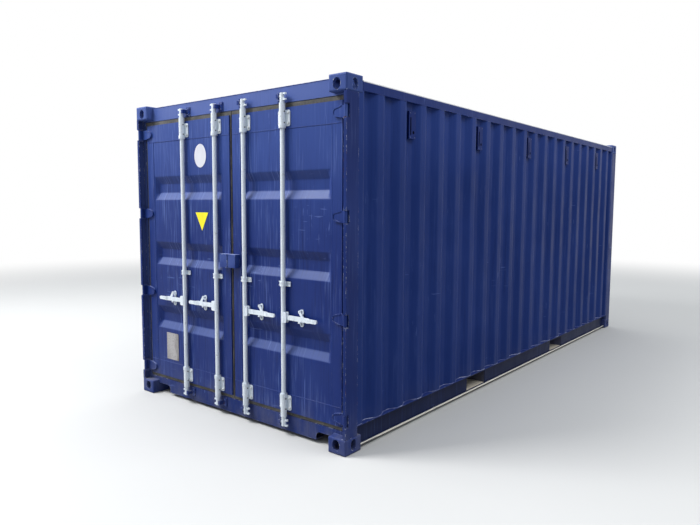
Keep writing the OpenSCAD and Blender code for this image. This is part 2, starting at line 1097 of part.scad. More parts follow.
module roof_panel() {
    color(paint)
        translate([0, 0, top_rail_top + roof_sheet])
            difference() {
                union() {
                    translate([-roof_length / 2, -roof_half, -roof_sheet])
                        cube([roof_length, 2 * roof_half, roof_sheet]);
                    difference() {
                        roof_ridges(0);
                        translate([-roof_length, -width, -past - height])
                            cube([2 * roof_length, 2 * width, height]);
                    }
                }
                roof_ridges(roof_sheet);
            }
}

// Floor and underframe

// Floor slab with grooves where its sheets meet
module floor_boards() {
    groove_level = floor_level - floor_joint_depth;
    sheet_count = floor((floor_end - floor_start) / floor_sheet_length);
    color(plywood)
        difference() {
            translate([floor_start, -rail_web_inner, floor_bottom])
                cube([floor_end - floor_start, 2 * rail_web_inner, floor_board]);
            translate([floor_start - past, -floor_joint / 2, groove_level])
                cube([length, floor_joint, floor_board]);
            for (i = [1:sheet_count])
                translate([
                    floor_start + i * floor_sheet_length - floor_joint / 2,
                    -width / 2,
                    groove_level
                ])
                    cube([floor_joint, width, floor_board]);
        }
}

// Channel under the floor with its web at local zero
module cross_member() {
    translate([0, -rail_web_inner, cross_bottom])
        along_y(2 * rail_web_inner)
            union() {
                square([cross_sheet, cross_height]);
                square([cross_flange, cross_sheet]);
                translate([0, cross_height - cross_sheet])
                    square([cross_flange, cross_sheet]);
            }
}

// Cross members from the middle to the pockets and from there to the ends
module cross_members() {
    inner_room = pocket_x - pocket_half - cross_flange;
    inner_count = floor(inner_room / cross_pitch);
    first_outer = pocket_x + pocket_half + cross_flange;
    door_room = length / 2 - sill_rear - cross_flange - first_outer;
    outer_count = floor(door_room / cross_pitch);
    color(paint) {
        for (i = [-inner_count:inner_count])
            translate([i * cross_pitch - cross_flange / 2, 0, 0])
                cross_member();
        for (end = [-1, 1], i = [0:outer_count])
            translate([end * (first_outer + i * cross_pitch) - cross_flange / 2, 0, 0])
                cross_member();
    }
}

// Tunnel between both rails, closed below at its mouths only
module fork_pocket() {
    outer_height = floor_bottom - rail_clearance;
    difference() {
        translate([-pocket_half, -rail_web_inner, rail_clearance])
            cube([2 * pocket_half, 2 * rail_web_inner, outer_height]);
        translate([-pocket_width / 2, -width / 2, pocket_floor])
            cube([pocket_width, width, pocket_height]);
        translate([-pocket_width / 2, -rail_web_inner + pocket_sill, rail_clearance - past])
            cube([
                pocket_width,
                2 * (rail_web_inner - pocket_sill),
                pocket_height
            ]);
    }
}

module fork_pockets() {
    color(paint)
        for (end = [-1, 1])
            translate([end * pocket_x, 0, 0])
                fork_pocket();
}

// Ventilators

// Hooded cover in a wall trough, open at its foot
module ventilator() {
    back = wall_trough;
    face = wall_trough + vent_depth;
    top = height - vent_drop;
    bottom = top - vent_height;
    difference() {
        translate([0, 0, bottom])
            linear_extrude(height = vent_height)
                polygon([
                    [-vent_back_width / 2, back],
                    [-vent_width / 2, face],
                    [vent_width / 2, face],
                    [vent_back_width / 2, back]
                ]);
        translate([0, 0, bottom - past])
            linear_extrude(height = vent_height - vent_sheet + past)
                polygon([
                    [-vent_back_width / 2 + vent_sheet, back + vent_sheet],
                    [-vent_width / 2 + vent_sheet, face - vent_sheet],
                    [vent_width / 2 - vent_sheet, face - vent_sheet],
                    [vent_back_width / 2 - vent_sheet, back + vent_sheet]
                ]);
    }
}

module ventilators() {
    color(paint)
        for (side = door_sides, i = [-vent_half_count:vent_half_count])
            on_side(side)
                translate([i * vent_step * wall_pitch, 0, 0])
                    ventilator();
}

// Cam keepers

// Keeper for one upper cam, local Y counts from the bar axis toward the centre
module cam_keeper() {
    tail_front = bar_setback - cam_tail_width / 2;
    lip_rear = tail_front - keeper_gap;
    lip_front = lip_rear - keeper_lip;
    base_front = threshold_setback - keeper_base;
    hook_mid = cam_foot + cam_tail_level + cam_tail_height / 2;
    translate([base_front, keeper_wall_inner, hook_mid - keeper_base_height / 2])
        cube([keeper_base, keeper_outer - keeper_wall_inner, keeper_base_height]);
    translate([lip_front, keeper_wall_inner, hook_mid - keeper_hook_height / 2])
        cube([threshold_setback - lip_front, keeper_wall, keeper_hook_height]);
    translate([lip_front, keeper_lip_inner, hook_mid - keeper_hook_height / 2])
        cube([
            keeper_lip,
            keeper_wall_inner + keeper_wall - keeper_lip_inner,
            keeper_hook_height
        ]);
}

// Keepers of one bar, upper and lower
module keeper_pair() {
    cam_keeper();
    at_lower_fittings()
        cam_keeper();
}

module cam_keepers() {
    color(zinc)
        at_door_end()
            for (side = door_sides, offset = [bar_outer, bar_inner])
                on_side(side)
                    translate([0, offset, 0])
                        mirror([0, 1, 0])
                            keeper_pair();
}

// Hinges

// Two lugs on the post with the pin between them
module hinge_lug_pair() {
    lug_start = hinge_height / 2 + hinge_lug_gap;
    for (level = [lug_start, -lug_start - hinge_lug])
        translate([groove_front, groove_inner, level])
            cube([
                post_step - groove_front,
                groove_outer - groove_inner,
                hinge_lug
            ]);
    translate([hinge_setback, hinge_y, -lug_start - hinge_lug])
        cylinder(d = hinge_pin, h = 2 * (lug_start + hinge_lug));
}

module hinge_lugs() {
    color(paint)
        at_door_end()
            for (side = door_sides, level = hinge_levels)
                on_side(side)
                    translate([0, 0, level])
                        hinge_lug_pair();
}

// Blade outline in Y and Z, drawn in by a given amount
module hinge_outline(shrink) {
    root_half = hinge_height / 2 - shrink;
    tip_half = hinge_tip_height / 2;
    tip_y = hinge_tip_y + tip_half;
    polygon([
        [hinge_y + hinge_knuckle, -root_half],
        [leaf_outer, -root_half],
        [tip_y, -tip_half + shrink],
        [tip_y, tip_half - shrink],
        [leaf_outer, root_half],
        [hinge_y + hinge_knuckle, root_half]
    ]);
    translate([tip_y, 0])
        circle(r = tip_half - shrink);
}

// Blade seen from above, from the knuckle back and along the leaf face
module hinge_plan() {
    blade_front = leaf_setback - hinge_blade;
    translate([hinge_setback, hinge_y])
        circle(d = hinge_knuckle);
    translate([hinge_setback, hinge_y - hinge_blade / 2])
        square([leaf_setback - hinge_setback, hinge_blade]);
    translate([blade_front, hinge_tip_y])
        square([hinge_blade, hinge_y + hinge_blade / 2 - hinge_tip_y]);
}

module hinge_leaf() {
    blade_front = leaf_setback - hinge_blade;
    rib_run = leaf_outer - hinge_tip_y;
    difference() {
        union() {
            intersection() {
                translate([0, 0, -hinge_height / 2])
                    linear_extrude(height = hinge_height)
                        hinge_plan();
                along_x(leaf_setback)
                    hinge_outline(0);
            }
            intersection() {
                translate([blade_front - hinge_rib, 0, 0])
                    along_x(hinge_rib + past)
                        difference() {
                            hinge_outline(0);
                            hinge_outline(hinge_rib_width);
                        }
                translate([0, hinge_tip_y - past, -hinge_height])
                    cube([leaf_setback, rib_run, 2 * hinge_height]);
            }
        }
        translate([hinge_setback, hinge_y, -hinge_height])
            cylinder(d = hinge_pin + 2 * hinge_clearance, h = 2 * hinge_height);
    }
}

module leaf_hinges() {
    at_door_end()
        for (level = hinge_levels)
            translate([0, 0, level])
                hinge_leaf();
}

// Door leaves

// Frame of hollow uprights and rear-open channels
module leaf_frame() {
    at_door_end()
        difference() {
            translate([leaf_setback, leaf_inner, leaf_bottom])
                cube([leaf_depth, leaf_width, leaf_height]);
            translate([leaf_setback - past, panel_near, panel_low])
                cube([leaf_depth + 2 * past, panel_far - panel_near, panel_high - panel_low]);
            for (edge = [leaf_inner, panel_far])
                translate([
                    leaf_setback + leaf_sheet,
                    edge + leaf_sheet,
                    leaf_bottom - past
                ])
                    cube([
                        leaf_depth - 2 * leaf_sheet,
                        leaf_stile - 2 * leaf_sheet,
                        leaf_height + 2 * past
                    ]);
            for (span = [[leaf_bottom, leaf_foot], [panel_high, leaf_head]])
                translate([leaf_setback + leaf_sheet, panel_near, span[0] + leaf_sheet])
                    cube([
                        leaf_depth,
                        panel_far - panel_near,
                        span[1] - 2 * leaf_sheet
                    ]);
        }
}

// Trough bodies pressed to the rear, shifted back by a given amount
module panel_troughs(shift) {
    mouth = -past - shift;
    spread = panel_trough_slope / panel_trough_depth;
    end_spread = panel_end_run / panel_trough_depth;
    near = panel_near + panel_margin;
    far = panel_far - panel_margin;
    mouth_half = panel_trough_mouth / 2;
    floor_half = panel_trough_floor / 2;
    translate([panel_front + shift, 0, mid_level])
        intersection() {
            translate([0, near - leaf_stile, 0])
                along_y(far - near + 2 * leaf_stile)
                    for (i = [-1, 0, 1])
                        translate([0, i * panel_trough_pitch])
                            polygon([
                                [mouth, -mouth_half + mouth * spread],
                                [mouth, mouth_half - mouth * spread],
                                [panel_trough_depth, floor_half],
                                [panel_trough_depth, -floor_half]
                            ]);
            translate([0, 0, -height])
                linear_extrude(height = 2 * height)
                    polygon([
                        [mouth, near + mouth * end_spread],
                        [mouth, far - mouth * end_spread],
                        [panel_trough_depth, far - panel_end_run],
                        [panel_trough_depth, near + panel_end_run]
                    ]);
        }
}

module leaf_panel() {
    at_door_end()
        difference() {
            union() {
                translate([panel_front, panel_near, panel_low])
                    cube([panel_sheet, panel_far - panel_near, panel_high - panel_low]);
                difference() {
                    panel_troughs(panel_sheet);
                    translate([panel_front + past - leaf_depth, 0, 0])
                        cube([leaf_depth, side_y, height]);
                }
            }
            panel_troughs(0);
        }
}

// Seal around a leaf with a groove between its two lips
module leaf_gasket() {
    at_door_end()
        difference() {
            translate([gasket_front, gasket_centre_gap, gasket_bottom])
                cube([
                    gasket_depth,
                    gasket_outer - gasket_centre_gap,
                    gasket_top - gasket_bottom
                ]);
            translate([gasket_front - past, leaf_inner, leaf_bottom])
                cube([gasket_depth + 2 * past, leaf_width, leaf_height]);
            translate([gasket_front + (gasket_depth - gasket_groove) / 2, 0, 0])
                difference() {
                    cube([gasket_groove, side_y, height]);
                    translate([
                        -past,
                        gasket_centre_gap + gasket_groove_depth,
                        gasket_bottom + gasket_groove_depth
                    ])
                        cube([
                            gasket_groove + 2 * past,
                            gasket_outer - gasket_centre_gap - 2 * gasket_groove_depth,
                            gasket_top - gasket_bottom - 2 * gasket_groove_depth
                        ]);
                }
        }
}

// Door fittings

// Upper end guide: bolted plate with a long tube around the bar
module end_guide() {
    tube_bottom = guide_tube_top - guide_tube_length;
    plate_top = guide_tube_top - guide_end_margin;
    difference() {
        union() {
            translate([
                leaf_setback - guide_plate,
                -guide_end_half,
                plate_top - guide_end_height
            ])
                along_x(guide_plate)
                    round_plate(2 * guide_end_half, guide_end_height, guide_corner);
            translate([bar_setback, 0, tube_bottom])
                cylinder(d = guide_tube, h = guide_tube_length);
            translate([bar_setback, 0, tube_bottom])
                cylinder(d = guide_collar_diameter, h = guide_collar);
        }
        guide_bore(tube_bottom, guide_tube_length);
    }
}

// Bar bore with clearance, and the room taken by the leaf
module guide_bore(level, run) {
    translate([bar_setback, 0, level - past])
        cylinder(d = bar_diameter + 2 * bar_clearance, h = run + 2 * past);
    translate([leaf_setback, -guide_tube, level - past])
        cube([guide_tube, 2 * guide_tube, run + 2 * past]);
}

// Short middle guide with two round bolt ends
module mid_guide() {
    level = guide_mid_level - guide_mid_height / 2;
    difference() {
        union() {
            translate([leaf_setback - guide_plate, 0, guide_mid_level])
                along_x(guide_plate)
                    slot_profile(2 * guide_mid_half, guide_mid_height);
            translate([bar_setback, 0, level])
                cylinder(d = guide_tube, h = guide_mid_height);
        }
        guide_bore(level, guide_mid_height);
    }
}

// Plate with a tray that carries the lever in its closed place
module handle_retainer() {
    tray_top = handle_level - lever_height / 2 - retainer_gap;
    translate([0, ear_offset - retainer_half, 0]) {
        translate([leaf_setback - guide_plate, 0, handle_level - retainer_drop])
            cube([
                guide_plate,
                2 * retainer_half,
                retainer_drop + retainer_rise
            ]);
        translate([retainer_front, 0, tray_top - retainer_tray])
            cube([leaf_setback - retainer_front, 2 * retainer_half, retainer_tray]);
        translate([retainer_front, 0, tray_top - retainer_edge])
            cube([guide_plate, 2 * retainer_half, retainer_edge]);
    }
}

module leaf_fittings() {
    at_door_end()
        for (offset = [bar_outer, bar_inner])
            translate([0, offset, 0]) {
                end_guide();
                at_lower_fittings()
                    end_guide();
                mid_guide();
                handle_retainer();
            }
}

// Half of the lock box, open toward the centre line and downward
module lock_box_half() {
    reach = lockbox_half - lockbox_gap;
    at_door_end()
        difference() {
            translate([lockbox_setback, lockbox_gap, lockbox_level])
                cube([leaf_setback - lockbox_setback, reach, lockbox_height]);
            translate([
                lockbox_setback + lockbox_sheet,
                lockbox_gap - past,
                lockbox_level - past
            ])
                cube([
                    leaf_setback,
                    reach - lockbox_sheet + past,
                    lockbox_height - lockbox_sheet + past
                ]);
        }
}

module left_door_frame() {
    color(paint)
        leaf_frame();
}

module left_door_panel() {
    color(paint)
        leaf_panel();
}

module left_door_gasket() {
    color(rubber)
        leaf_gasket();
}

module left_door_hinges() {
    color(paint)
        leaf_hinges();
}

module left_door_fittings() {
    color(zinc)
        leaf_fittings();
}

module left_lock_box() {
    color(paint)
        lock_box_half();
}

module right_door_frame() {
    color(paint)
        on_side(-1)
            leaf_frame();
}

module right_door_panel() {
    color(paint)
        on_side(-1)
            leaf_panel();
}

module right_door_gasket() {
    color(rubber)
        on_side(-1)
            leaf_gasket();
}

module right_door_hinges() {
    color(paint)
        on_side(-1)
            leaf_hinges();
}

module right_door_fittings() {
    color(zinc)
        on_side(-1)
            leaf_fittings();
}

module right_lock_box() {
    color(paint)
        on_side(-1)
            lock_box_half();
}

// Locking bars

// Upper cam head: core, two jaws toward the handle and a tail to the keeper
module cam_head() {
    tip = cam_reach - cam_jaw_width / 2;
    translate([0, 0, cam_foot]) {
        cylinder(d = cam_core, h = cam_height);
        for (level = [cam_jaw_level, cam_height - cam_jaw])
            translate([0, 0, level]) {
                translate([-cam_jaw_width / 2, 0, 0])
                    cube([cam_jaw_width, tip, cam_jaw]);
                translate([0, tip, 0])
                    cylinder(d = cam_jaw_width, h = cam_jaw);
            }
        translate([-cam_tail_width / 2, -cam_tail, cam_tail_level])
            cube([cam_tail_width, cam_tail, cam_tail_height]);
    }
}

// Fork that holds the lever, with the pivot pin across it
module handle_hub() {
    lever_front = lever_setback - bar_setback;
    front_face = lever_front - hub_gap - hub_front_cheek;
    rear_face = lever_front + lever_thickness + hub_gap;
    translate([0, 0, handle_level - hub_height / 2])
        cylinder(d = bar_diameter, h = hub_height);
    for (cheek = [[front_face, hub_front_cheek], [rear_face, hub_rear_cheek]])
        translate([cheek[0], -hub_corner, handle_level - hub_height / 2])
            along_x(cheek[1])
                intersection() {
                    round_plate(hub_reach + hub_corner, hub_height, hub_corner);
                    translate([hub_corner, 0])
                        square([hub_reach, hub_height]);
                }
    translate([front_face, handle_pivot, handle_level])
        rotate([0, 90, 0])
            cylinder(d = handle_pin, h = rear_face + hub_rear_cheek - front_face);
}

// Hollow bar with both cams and the hub, local Y points toward the handle
module locking_bar() {
    cam_top = cam_foot + cam_height;
    bar_bottom = 2 * fitting_mid - cam_top;
    difference() {
        union() {
            translate([0, 0, bar_bottom])
                cylinder(d = bar_diameter, h = cam_top - bar_bottom);
            cam_head();
            at_lower_fittings()
                cam_head();
            handle_hub();
        }
        translate([0, 0, bar_bottom - past])
            cylinder(d = bar_diameter - 2 * bar_wall, h = cam_foot - bar_bottom);
    }
}

module bar_at(side, offset) {
    color(zinc)
        at_door_end()
            on_side(side)
                translate([bar_setback, offset, 0])
                    locking_bar();
}

module locking_bar_1() {
    bar_at(1, bar_outer);
}

module locking_bar_2() {
    bar_at(1, bar_inner);
}

module locking_bar_3() {
    bar_at(-1, bar_inner);
}

module locking_bar_4() {
    bar_at(-1, bar_outer);
}

// Handles

// Lever outline in Y and Z, from the pivot eye to the rounded grip
module lever_outline() {
    shoulder = handle_pivot + lever_height;
    grip_start = lever_reach - grip_length;
    tip = lever_reach - grip_height / 2;
    translate([handle_pivot, 0])
        circle(r = lever_eye);
    polygon([
        [handle_pivot, -lever_eye],
        [shoulder, -lever_height / 2],
        [grip_start, -lever_height / 2],
        [grip_start + grip_run, -grip_height / 2],
        [tip, -grip_height / 2],
        [tip, grip_height / 2],
        [grip_start + grip_run, grip_height / 2],
        [grip_start, lever_height / 2],
        [shoulder, lever_height / 2],
        [handle_pivot, lever_eye]
    ]);
    translate([tip, 0])
        circle(r = grip_height / 2);
}

// Lever seen from above, with the grip stepped forward
module lever_plan() {
    rear = lever_setback + lever_thickness;
    grip_front = lever_setback - grip_step;
    grip_start = lever_reach - grip_length;
    polygon([
        [lever_setback, 0],
        [lever_setback, grip_start - grip_run],
        [grip_front, grip_start],
        [grip_front, lever_reach],
        [grip_front + grip_thickness, lever_reach],
        [grip_front + grip_thickness, grip_start + grip_run / 2],
        [rear, grip_start - grip_run / 2],
        [rear, 0]
    ]);
}

// Leaning ear with the seal hole
module seal_ear() {
    ear_foot = ear_offset + ear_lean;
    foot_level = lever_height / 2 - past;
    crown_level = ear_rise - ear_width / 2;
    translate([lever_mid - ear_thickness / 2, 0, 0])
        along_x(ear_thickness)
            difference() {
                union() {
                    polygon([
                        [ear_foot - ear_width / 2, foot_level],
                        [ear_offset - ear_width / 2, crown_level],
                        [ear_offset + ear_width / 2, crown_level],
                        [ear_foot + ear_width / 2, foot_level]
                    ]);
                    translate([ear_offset, crown_level])
                        circle(d = ear_width);
                }
                translate([ear_offset, crown_level])
                    circle(d = ear_hole);
            }
}

// Lever with its pivot bore, drawn for a left leaf
module handle_lever() {
    translate([0, 0, handle_level])
        difference() {
            union() {
                intersection() {
                    along_x(leaf_setback)
                        lever_outline();
                    translate([0, 0, -lever_height])
                        linear_extrude(height = 2 * lever_height)
                            lever_plan();
                }
                seal_ear();
            }
            translate([0, handle_pivot, 0])
                rotate([0, 90, 0])
                    cylinder(d = handle_pin + 2 * handle_clearance, h = leaf_setback);
        }
}

module handle_at(side, offset) {
    color(zinc)
        at_door_end()
            on_side(side)
                translate([0, offset, 0])
                    handle_lever();
}

module handle_1() {
    handle_at(1, bar_outer);
}

module handle_2() {
    handle_at(1, bar_inner);
}

module handle_3() {
    handle_at(-1, bar_inner);
}

module handle_4() {
    handle_at(-1, bar_outer);
}

// Nodes

door_castings_top();
door_castings_bottom();
front_castings_top();
front_castings_bottom();
door_post_left();
door_post_right();
front_posts();
door_header();
door_sill();
front_top_rail();
front_sill();
top_rail_left();
top_rail_right();
bottom_rail_left();
bottom_rail_right();
side_wall_left();
side_wall_right();
front_wall();
roof_panel();
floor_boards();
cross_members();
fork_pockets();
ventilators();
cam_keepers();
hinge_lugs();
left_door_frame();
left_door_panel();
left_door_gasket();
left_door_hinges();
left_door_fittings();
left_lock_box();
right_door_frame();
right_door_panel();
right_door_gasket();
right_door_hinges();
right_door_fittings();
right_lock_box();
locking_bar_1();
locking_bar_2();
locking_bar_3();
locking_bar_4();
handle_1();
handle_2();
handle_3();
handle_4();
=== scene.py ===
"""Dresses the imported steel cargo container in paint, zinc, welds, fasteners and a plain studio."""

import logging
import math
from dataclasses import dataclass, field
from enum import Enum
from random import Random
from typing import Any, Callable, Sequence

import bmesh
import bpy
from mathutils import Euler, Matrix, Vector, noise


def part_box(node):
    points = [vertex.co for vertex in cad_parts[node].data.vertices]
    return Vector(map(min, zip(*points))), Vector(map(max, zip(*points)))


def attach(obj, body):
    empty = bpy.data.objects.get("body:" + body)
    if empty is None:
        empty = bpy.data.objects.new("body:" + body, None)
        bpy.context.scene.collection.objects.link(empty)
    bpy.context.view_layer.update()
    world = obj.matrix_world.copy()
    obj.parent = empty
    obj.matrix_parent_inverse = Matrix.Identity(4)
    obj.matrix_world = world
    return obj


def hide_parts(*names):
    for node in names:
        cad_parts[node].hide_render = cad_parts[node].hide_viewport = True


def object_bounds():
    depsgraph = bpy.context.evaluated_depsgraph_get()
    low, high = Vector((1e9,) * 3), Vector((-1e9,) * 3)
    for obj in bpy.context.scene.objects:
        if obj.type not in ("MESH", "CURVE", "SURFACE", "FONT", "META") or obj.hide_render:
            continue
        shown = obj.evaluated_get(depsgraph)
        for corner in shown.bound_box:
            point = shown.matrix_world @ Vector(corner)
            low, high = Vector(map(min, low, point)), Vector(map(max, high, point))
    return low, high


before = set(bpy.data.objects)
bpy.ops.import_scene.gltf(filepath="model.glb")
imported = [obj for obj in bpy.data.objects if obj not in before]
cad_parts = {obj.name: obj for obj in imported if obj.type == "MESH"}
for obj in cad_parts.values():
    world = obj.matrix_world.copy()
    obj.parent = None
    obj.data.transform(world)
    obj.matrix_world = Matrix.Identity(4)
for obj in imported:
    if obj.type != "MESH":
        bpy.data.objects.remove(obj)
CAD_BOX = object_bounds()

LOG = logging.getLogger("container")

Colour = tuple[float, float, float]
Point = tuple[float, float, float]
Pair = tuple[float, float]
Placer = Callable[[float, float, float], Point]
Socket = bpy.types.NodeSocket

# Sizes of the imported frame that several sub-assemblies share, in metres. Depths
# count from the plane of the door end, bar places from the closing line.
CASTING_LENGTH = 0.178
CASTING_HEIGHT = 0.118
CASTING_SIDE = 1.057
HEADER_DEPTH = 0.066
LEAF_DEPTH = 0.055
GUIDE_DEPTH = 0.049
BAR_DEPTH = 0.032
BAR_PLACES = (0.595, 0.172)
STRAP_LEVEL = 1.148
LEVER_LEVEL = 0.903
RETAINER_PLACE = 0.170
HINGE_LEVELS = (0.2445, 0.9435, 1.6475, 2.3465)
VENT_PITCH = 1.112
VENTS_EACH_WAY = 2
CROSS_PITCH = 0.285


def srgb(red: int, green: int, blue: int) -> Colour:
    """Turns display values into linear light.

    Args:
        red: Red from 0 to 255.
        green: Green from 0 to 255.
        blue: Blue from 0 to 255.

    Returns:
        The colour in linear light.
    """

    def linear(value: int) -> float:
        """One channel in linear light."""
        share = value / 255
        return share / 12.92 if share <= 0.04045 else ((share + 0.055) / 1.055) ** 2.4

    return linear(red), linear(green), linear(blue)


def from_end(depth: float) -> float:
    """X of a depth behind the plane of the door end."""
    return CAD_BOX[0].x + depth


class Body(str, Enum):
    """The moving groups that pieces of this scene ride on."""

    FRAME = "frame"
    LEFT = "door_left"
    RIGHT = "door_right"


class Side(Enum):
    """Left and right half of the container, as the sign of Y."""

    LEFT = 1
    RIGHT = -1

    @property
    def body(self) -> Body:
        """The leaf on this side."""
        return Body.LEFT if self is Side.LEFT else Body.RIGHT

    @property
    def word(self) -> str:
        """Name part used for nodes and pieces."""
        return self.name.lower()


# ---------------------------------------------------------------- node graphs


class NodeGraph:
    """Small builder for the nodes of one tree."""

    def __init__(self, tree: bpy.types.NodeTree) -> None:
        """Takes the tree that the nodes go into."""
        self.tree = tree

    def node(self, kind: str, inputs: dict[Any, Any] | None = None, **settings: Any) -> bpy.types.Node:
        """Adds one node.

        Args:
            kind: Node type.
            inputs: Values or sockets by input name or number.
            **settings: Properties of the node.

        Returns:
            The new node.
        """
        made = self.tree.nodes.new(kind)
        for key, value in settings.items():
            setattr(made, key, value)
        for key, value in (inputs or {}).items():
            if isinstance(value, bpy.types.NodeSocket):
                self.tree.links.new(value, made.inputs[key])
            else:
                made.inputs[key].default_value = value
        return made

    def math(self, operation: str, first: Any, second: Any = None, clamp: bool = True) -> Socket:
        """One arithmetic step.

        Args:
            operation: Name of the operation.
            first: First socket or number.
            second: Second socket or number, if the operation has one.
            clamp: Whether the result is kept between 0 and 1.

        Returns:
            The result socket.
        """
        inputs = {0: first} if second is None else {0: first, 1: second}
        return self.node("ShaderNodeMath", inputs, operation=operation, use_clamp=clamp).outputs["Value"]


class ShaderGraph(NodeGraph):
    """Builder for one material around a principled shader."""

    def __init__(self, name: str) -> None:
        """Starts an empty material.

        Args:
            name: Name of the material.
        """
        self.material = bpy.data.materials.new(name)
        self.material.use_nodes = True
        super().__init__(self.material.node_tree)
        self.tree.nodes.clear()
        self.shader = self.node("ShaderNodeBsdfPrincipled")
        self.output = self.node("ShaderNodeOutputMaterial", {"Surface": self.shader.outputs["BSDF"]})
        self.coords = self.node("ShaderNodeTexCoord").outputs["Object"]
        self.normal = self.node("ShaderNodeNewGeometry").outputs["Normal"]

    def set(self, **values: float) -> None:
        """Sets plain values on the shader's own sockets, with underscores for spaces."""
        for name, value in values.items():
            self.shader.inputs[name.replace("_", " ")].default_value = value

    def feed(self, name: str, source: Socket) -> None:
        """Links a varying value into a shader socket."""
        self.tree.links.new(source, self.shader.inputs[name])

    def mapped(self, stretch: Point, shift: float = 0.0) -> Socket:
        """Object coordinates scaled by one factor per axis.

        Args:
            stretch: Factor along X, Y and Z.
            shift: Offset along all axes, to tell two patterns apart.

        Returns:
            The vector socket.
        """
        offset = (shift, shift * 0.7, shift * 1.3)
        inputs = {"Vector": self.coords, "Scale": stretch, "Location": offset}
        return self.node("ShaderNodeMapping", inputs).outputs["Vector"]

    def noise(
        self, scale: float, stretch: Point = (1, 1, 1), detail: float = 3, rough: float = 0.55, shift: float = 0.0
    ) -> Socket:
        """Fractal noise on stretched object coordinates.

        Args:
            scale: Patterns per metre.
            stretch: Factor along X, Y and Z.
            detail: Number of finer octaves.
            rough: Share of each finer octave.
            shift: Offset that tells two patterns apart.

        Returns:
            The noise socket, from 0 to 1.
        """
        inputs = {"Vector": self.mapped(stretch, shift), "Scale": scale, "Detail": detail, "Roughness": rough}
        return self.node("ShaderNodeTexNoise", inputs).outputs["Fac"]

    def layer(self, scale: float, shown: Pair, reach: Pair = (0.0, 1.0), **pattern: Any) -> Socket:
        """Mask made of one noise pattern.

        Args:
            scale: Patterns per metre.
            shown: Noise values between which the mask changes.
            reach: Mask values below and above that span.
            **pattern: Stretch, detail, roughness and shift of the noise.

        Returns:
            The mask socket.
        """
        return self.span(self.noise(scale, **pattern), *shown, *reach)

    def cells(self, scale: float) -> Socket:
        """Voronoi cells, so many per metre, with one grey value for each cell."""
        cells = self.node("ShaderNodeTexVoronoi", {"Vector": self.mapped((1, 1, 1)), "Scale": scale})
        return self.node("ShaderNodeSeparateColor", {"Color": cells.outputs["Color"]}).outputs["Red"]

    def span(self, value: Socket, low: float, high: float, first: float = 0.0, last: float = 1.0) -> Socket:
        """Maps a span of values smoothly onto another, clamped.

        Args:
            value: Socket to map.
            low: Start of the span.
            high: End of the span.
            first: Result at the start.
            last: Result at the end.

        Returns:
            The mapped socket.
        """
        inputs = {"Value": value, "From Min": low, "From Max": high, "To Min": first, "To Max": last}
        return self.node("ShaderNodeMapRange", inputs, interpolation_type="SMOOTHSTEP").outputs["Result"]

    def blend(self, share: Any, first: Any, second: Any) -> Socket:
        """Mixes two colours.

        Args:
            share: Part of the second colour, a socket or a number.
            first: Colour or socket below.
            second: Colour or socket above.

        Returns:
            The mixed colour socket.
        """
        below, above = ((*value, 1.0) if isinstance(value, tuple) else value for value in (first, second))
        return self.node("ShaderNodeMix", {0: share, 6: below, 7: above}, data_type="RGBA").outputs[2]

    def axis(self, vector: Socket, name: str) -> Socket:
        """The X, Y or Z of a vector."""
        return self.node("ShaderNodeSeparateXYZ", {"Vector": vector}).outputs[name]

    def distance_along(self, name: str) -> Socket:
        """Distance from the middle along one axis, not clamped."""
        return self.math("ABSOLUTE", self.axis(self.coords, name), clamp=False)

    def attribute(self, name: str) -> Socket:
        """A value that the piece carries on its own points."""
        return self.node("ShaderNodeAttribute", attribute_name=name).outputs["Fac"]

    def bump(self, height: Socket, distance: float, strength: float) -> None:
        """Feeds a height pattern into the shader's normal.

        Args:
            height: The pattern.
            distance: Height of the relief in metres.
            strength: Share of it that shows.
        """
        relief = self.node("ShaderNodeBump", {"Strength": strength, "Distance": distance, "Height": height})
        self.feed("Normal", relief.outputs["Normal"])

    def edges(self, radius: float) -> Socket:
        """Mask of sharp outer and inner edges.

        Args:
            radius: Reach of the mask on both sides of an edge.

        Returns:
            The mask socket, 1 on the edges.
        """
        bevel = self.node("ShaderNodeBevel", {"Radius": radius}, samples=4)
        normals = {0: bevel.outputs["Normal"], 1: self.normal}
        likeness = self.node("ShaderNodeVectorMath", normals, operation="DOT_PRODUCT")
        return self.span(likeness.outputs["Value"], 0.98, 0.80)


# ---------------------------------------------------------------- finishes


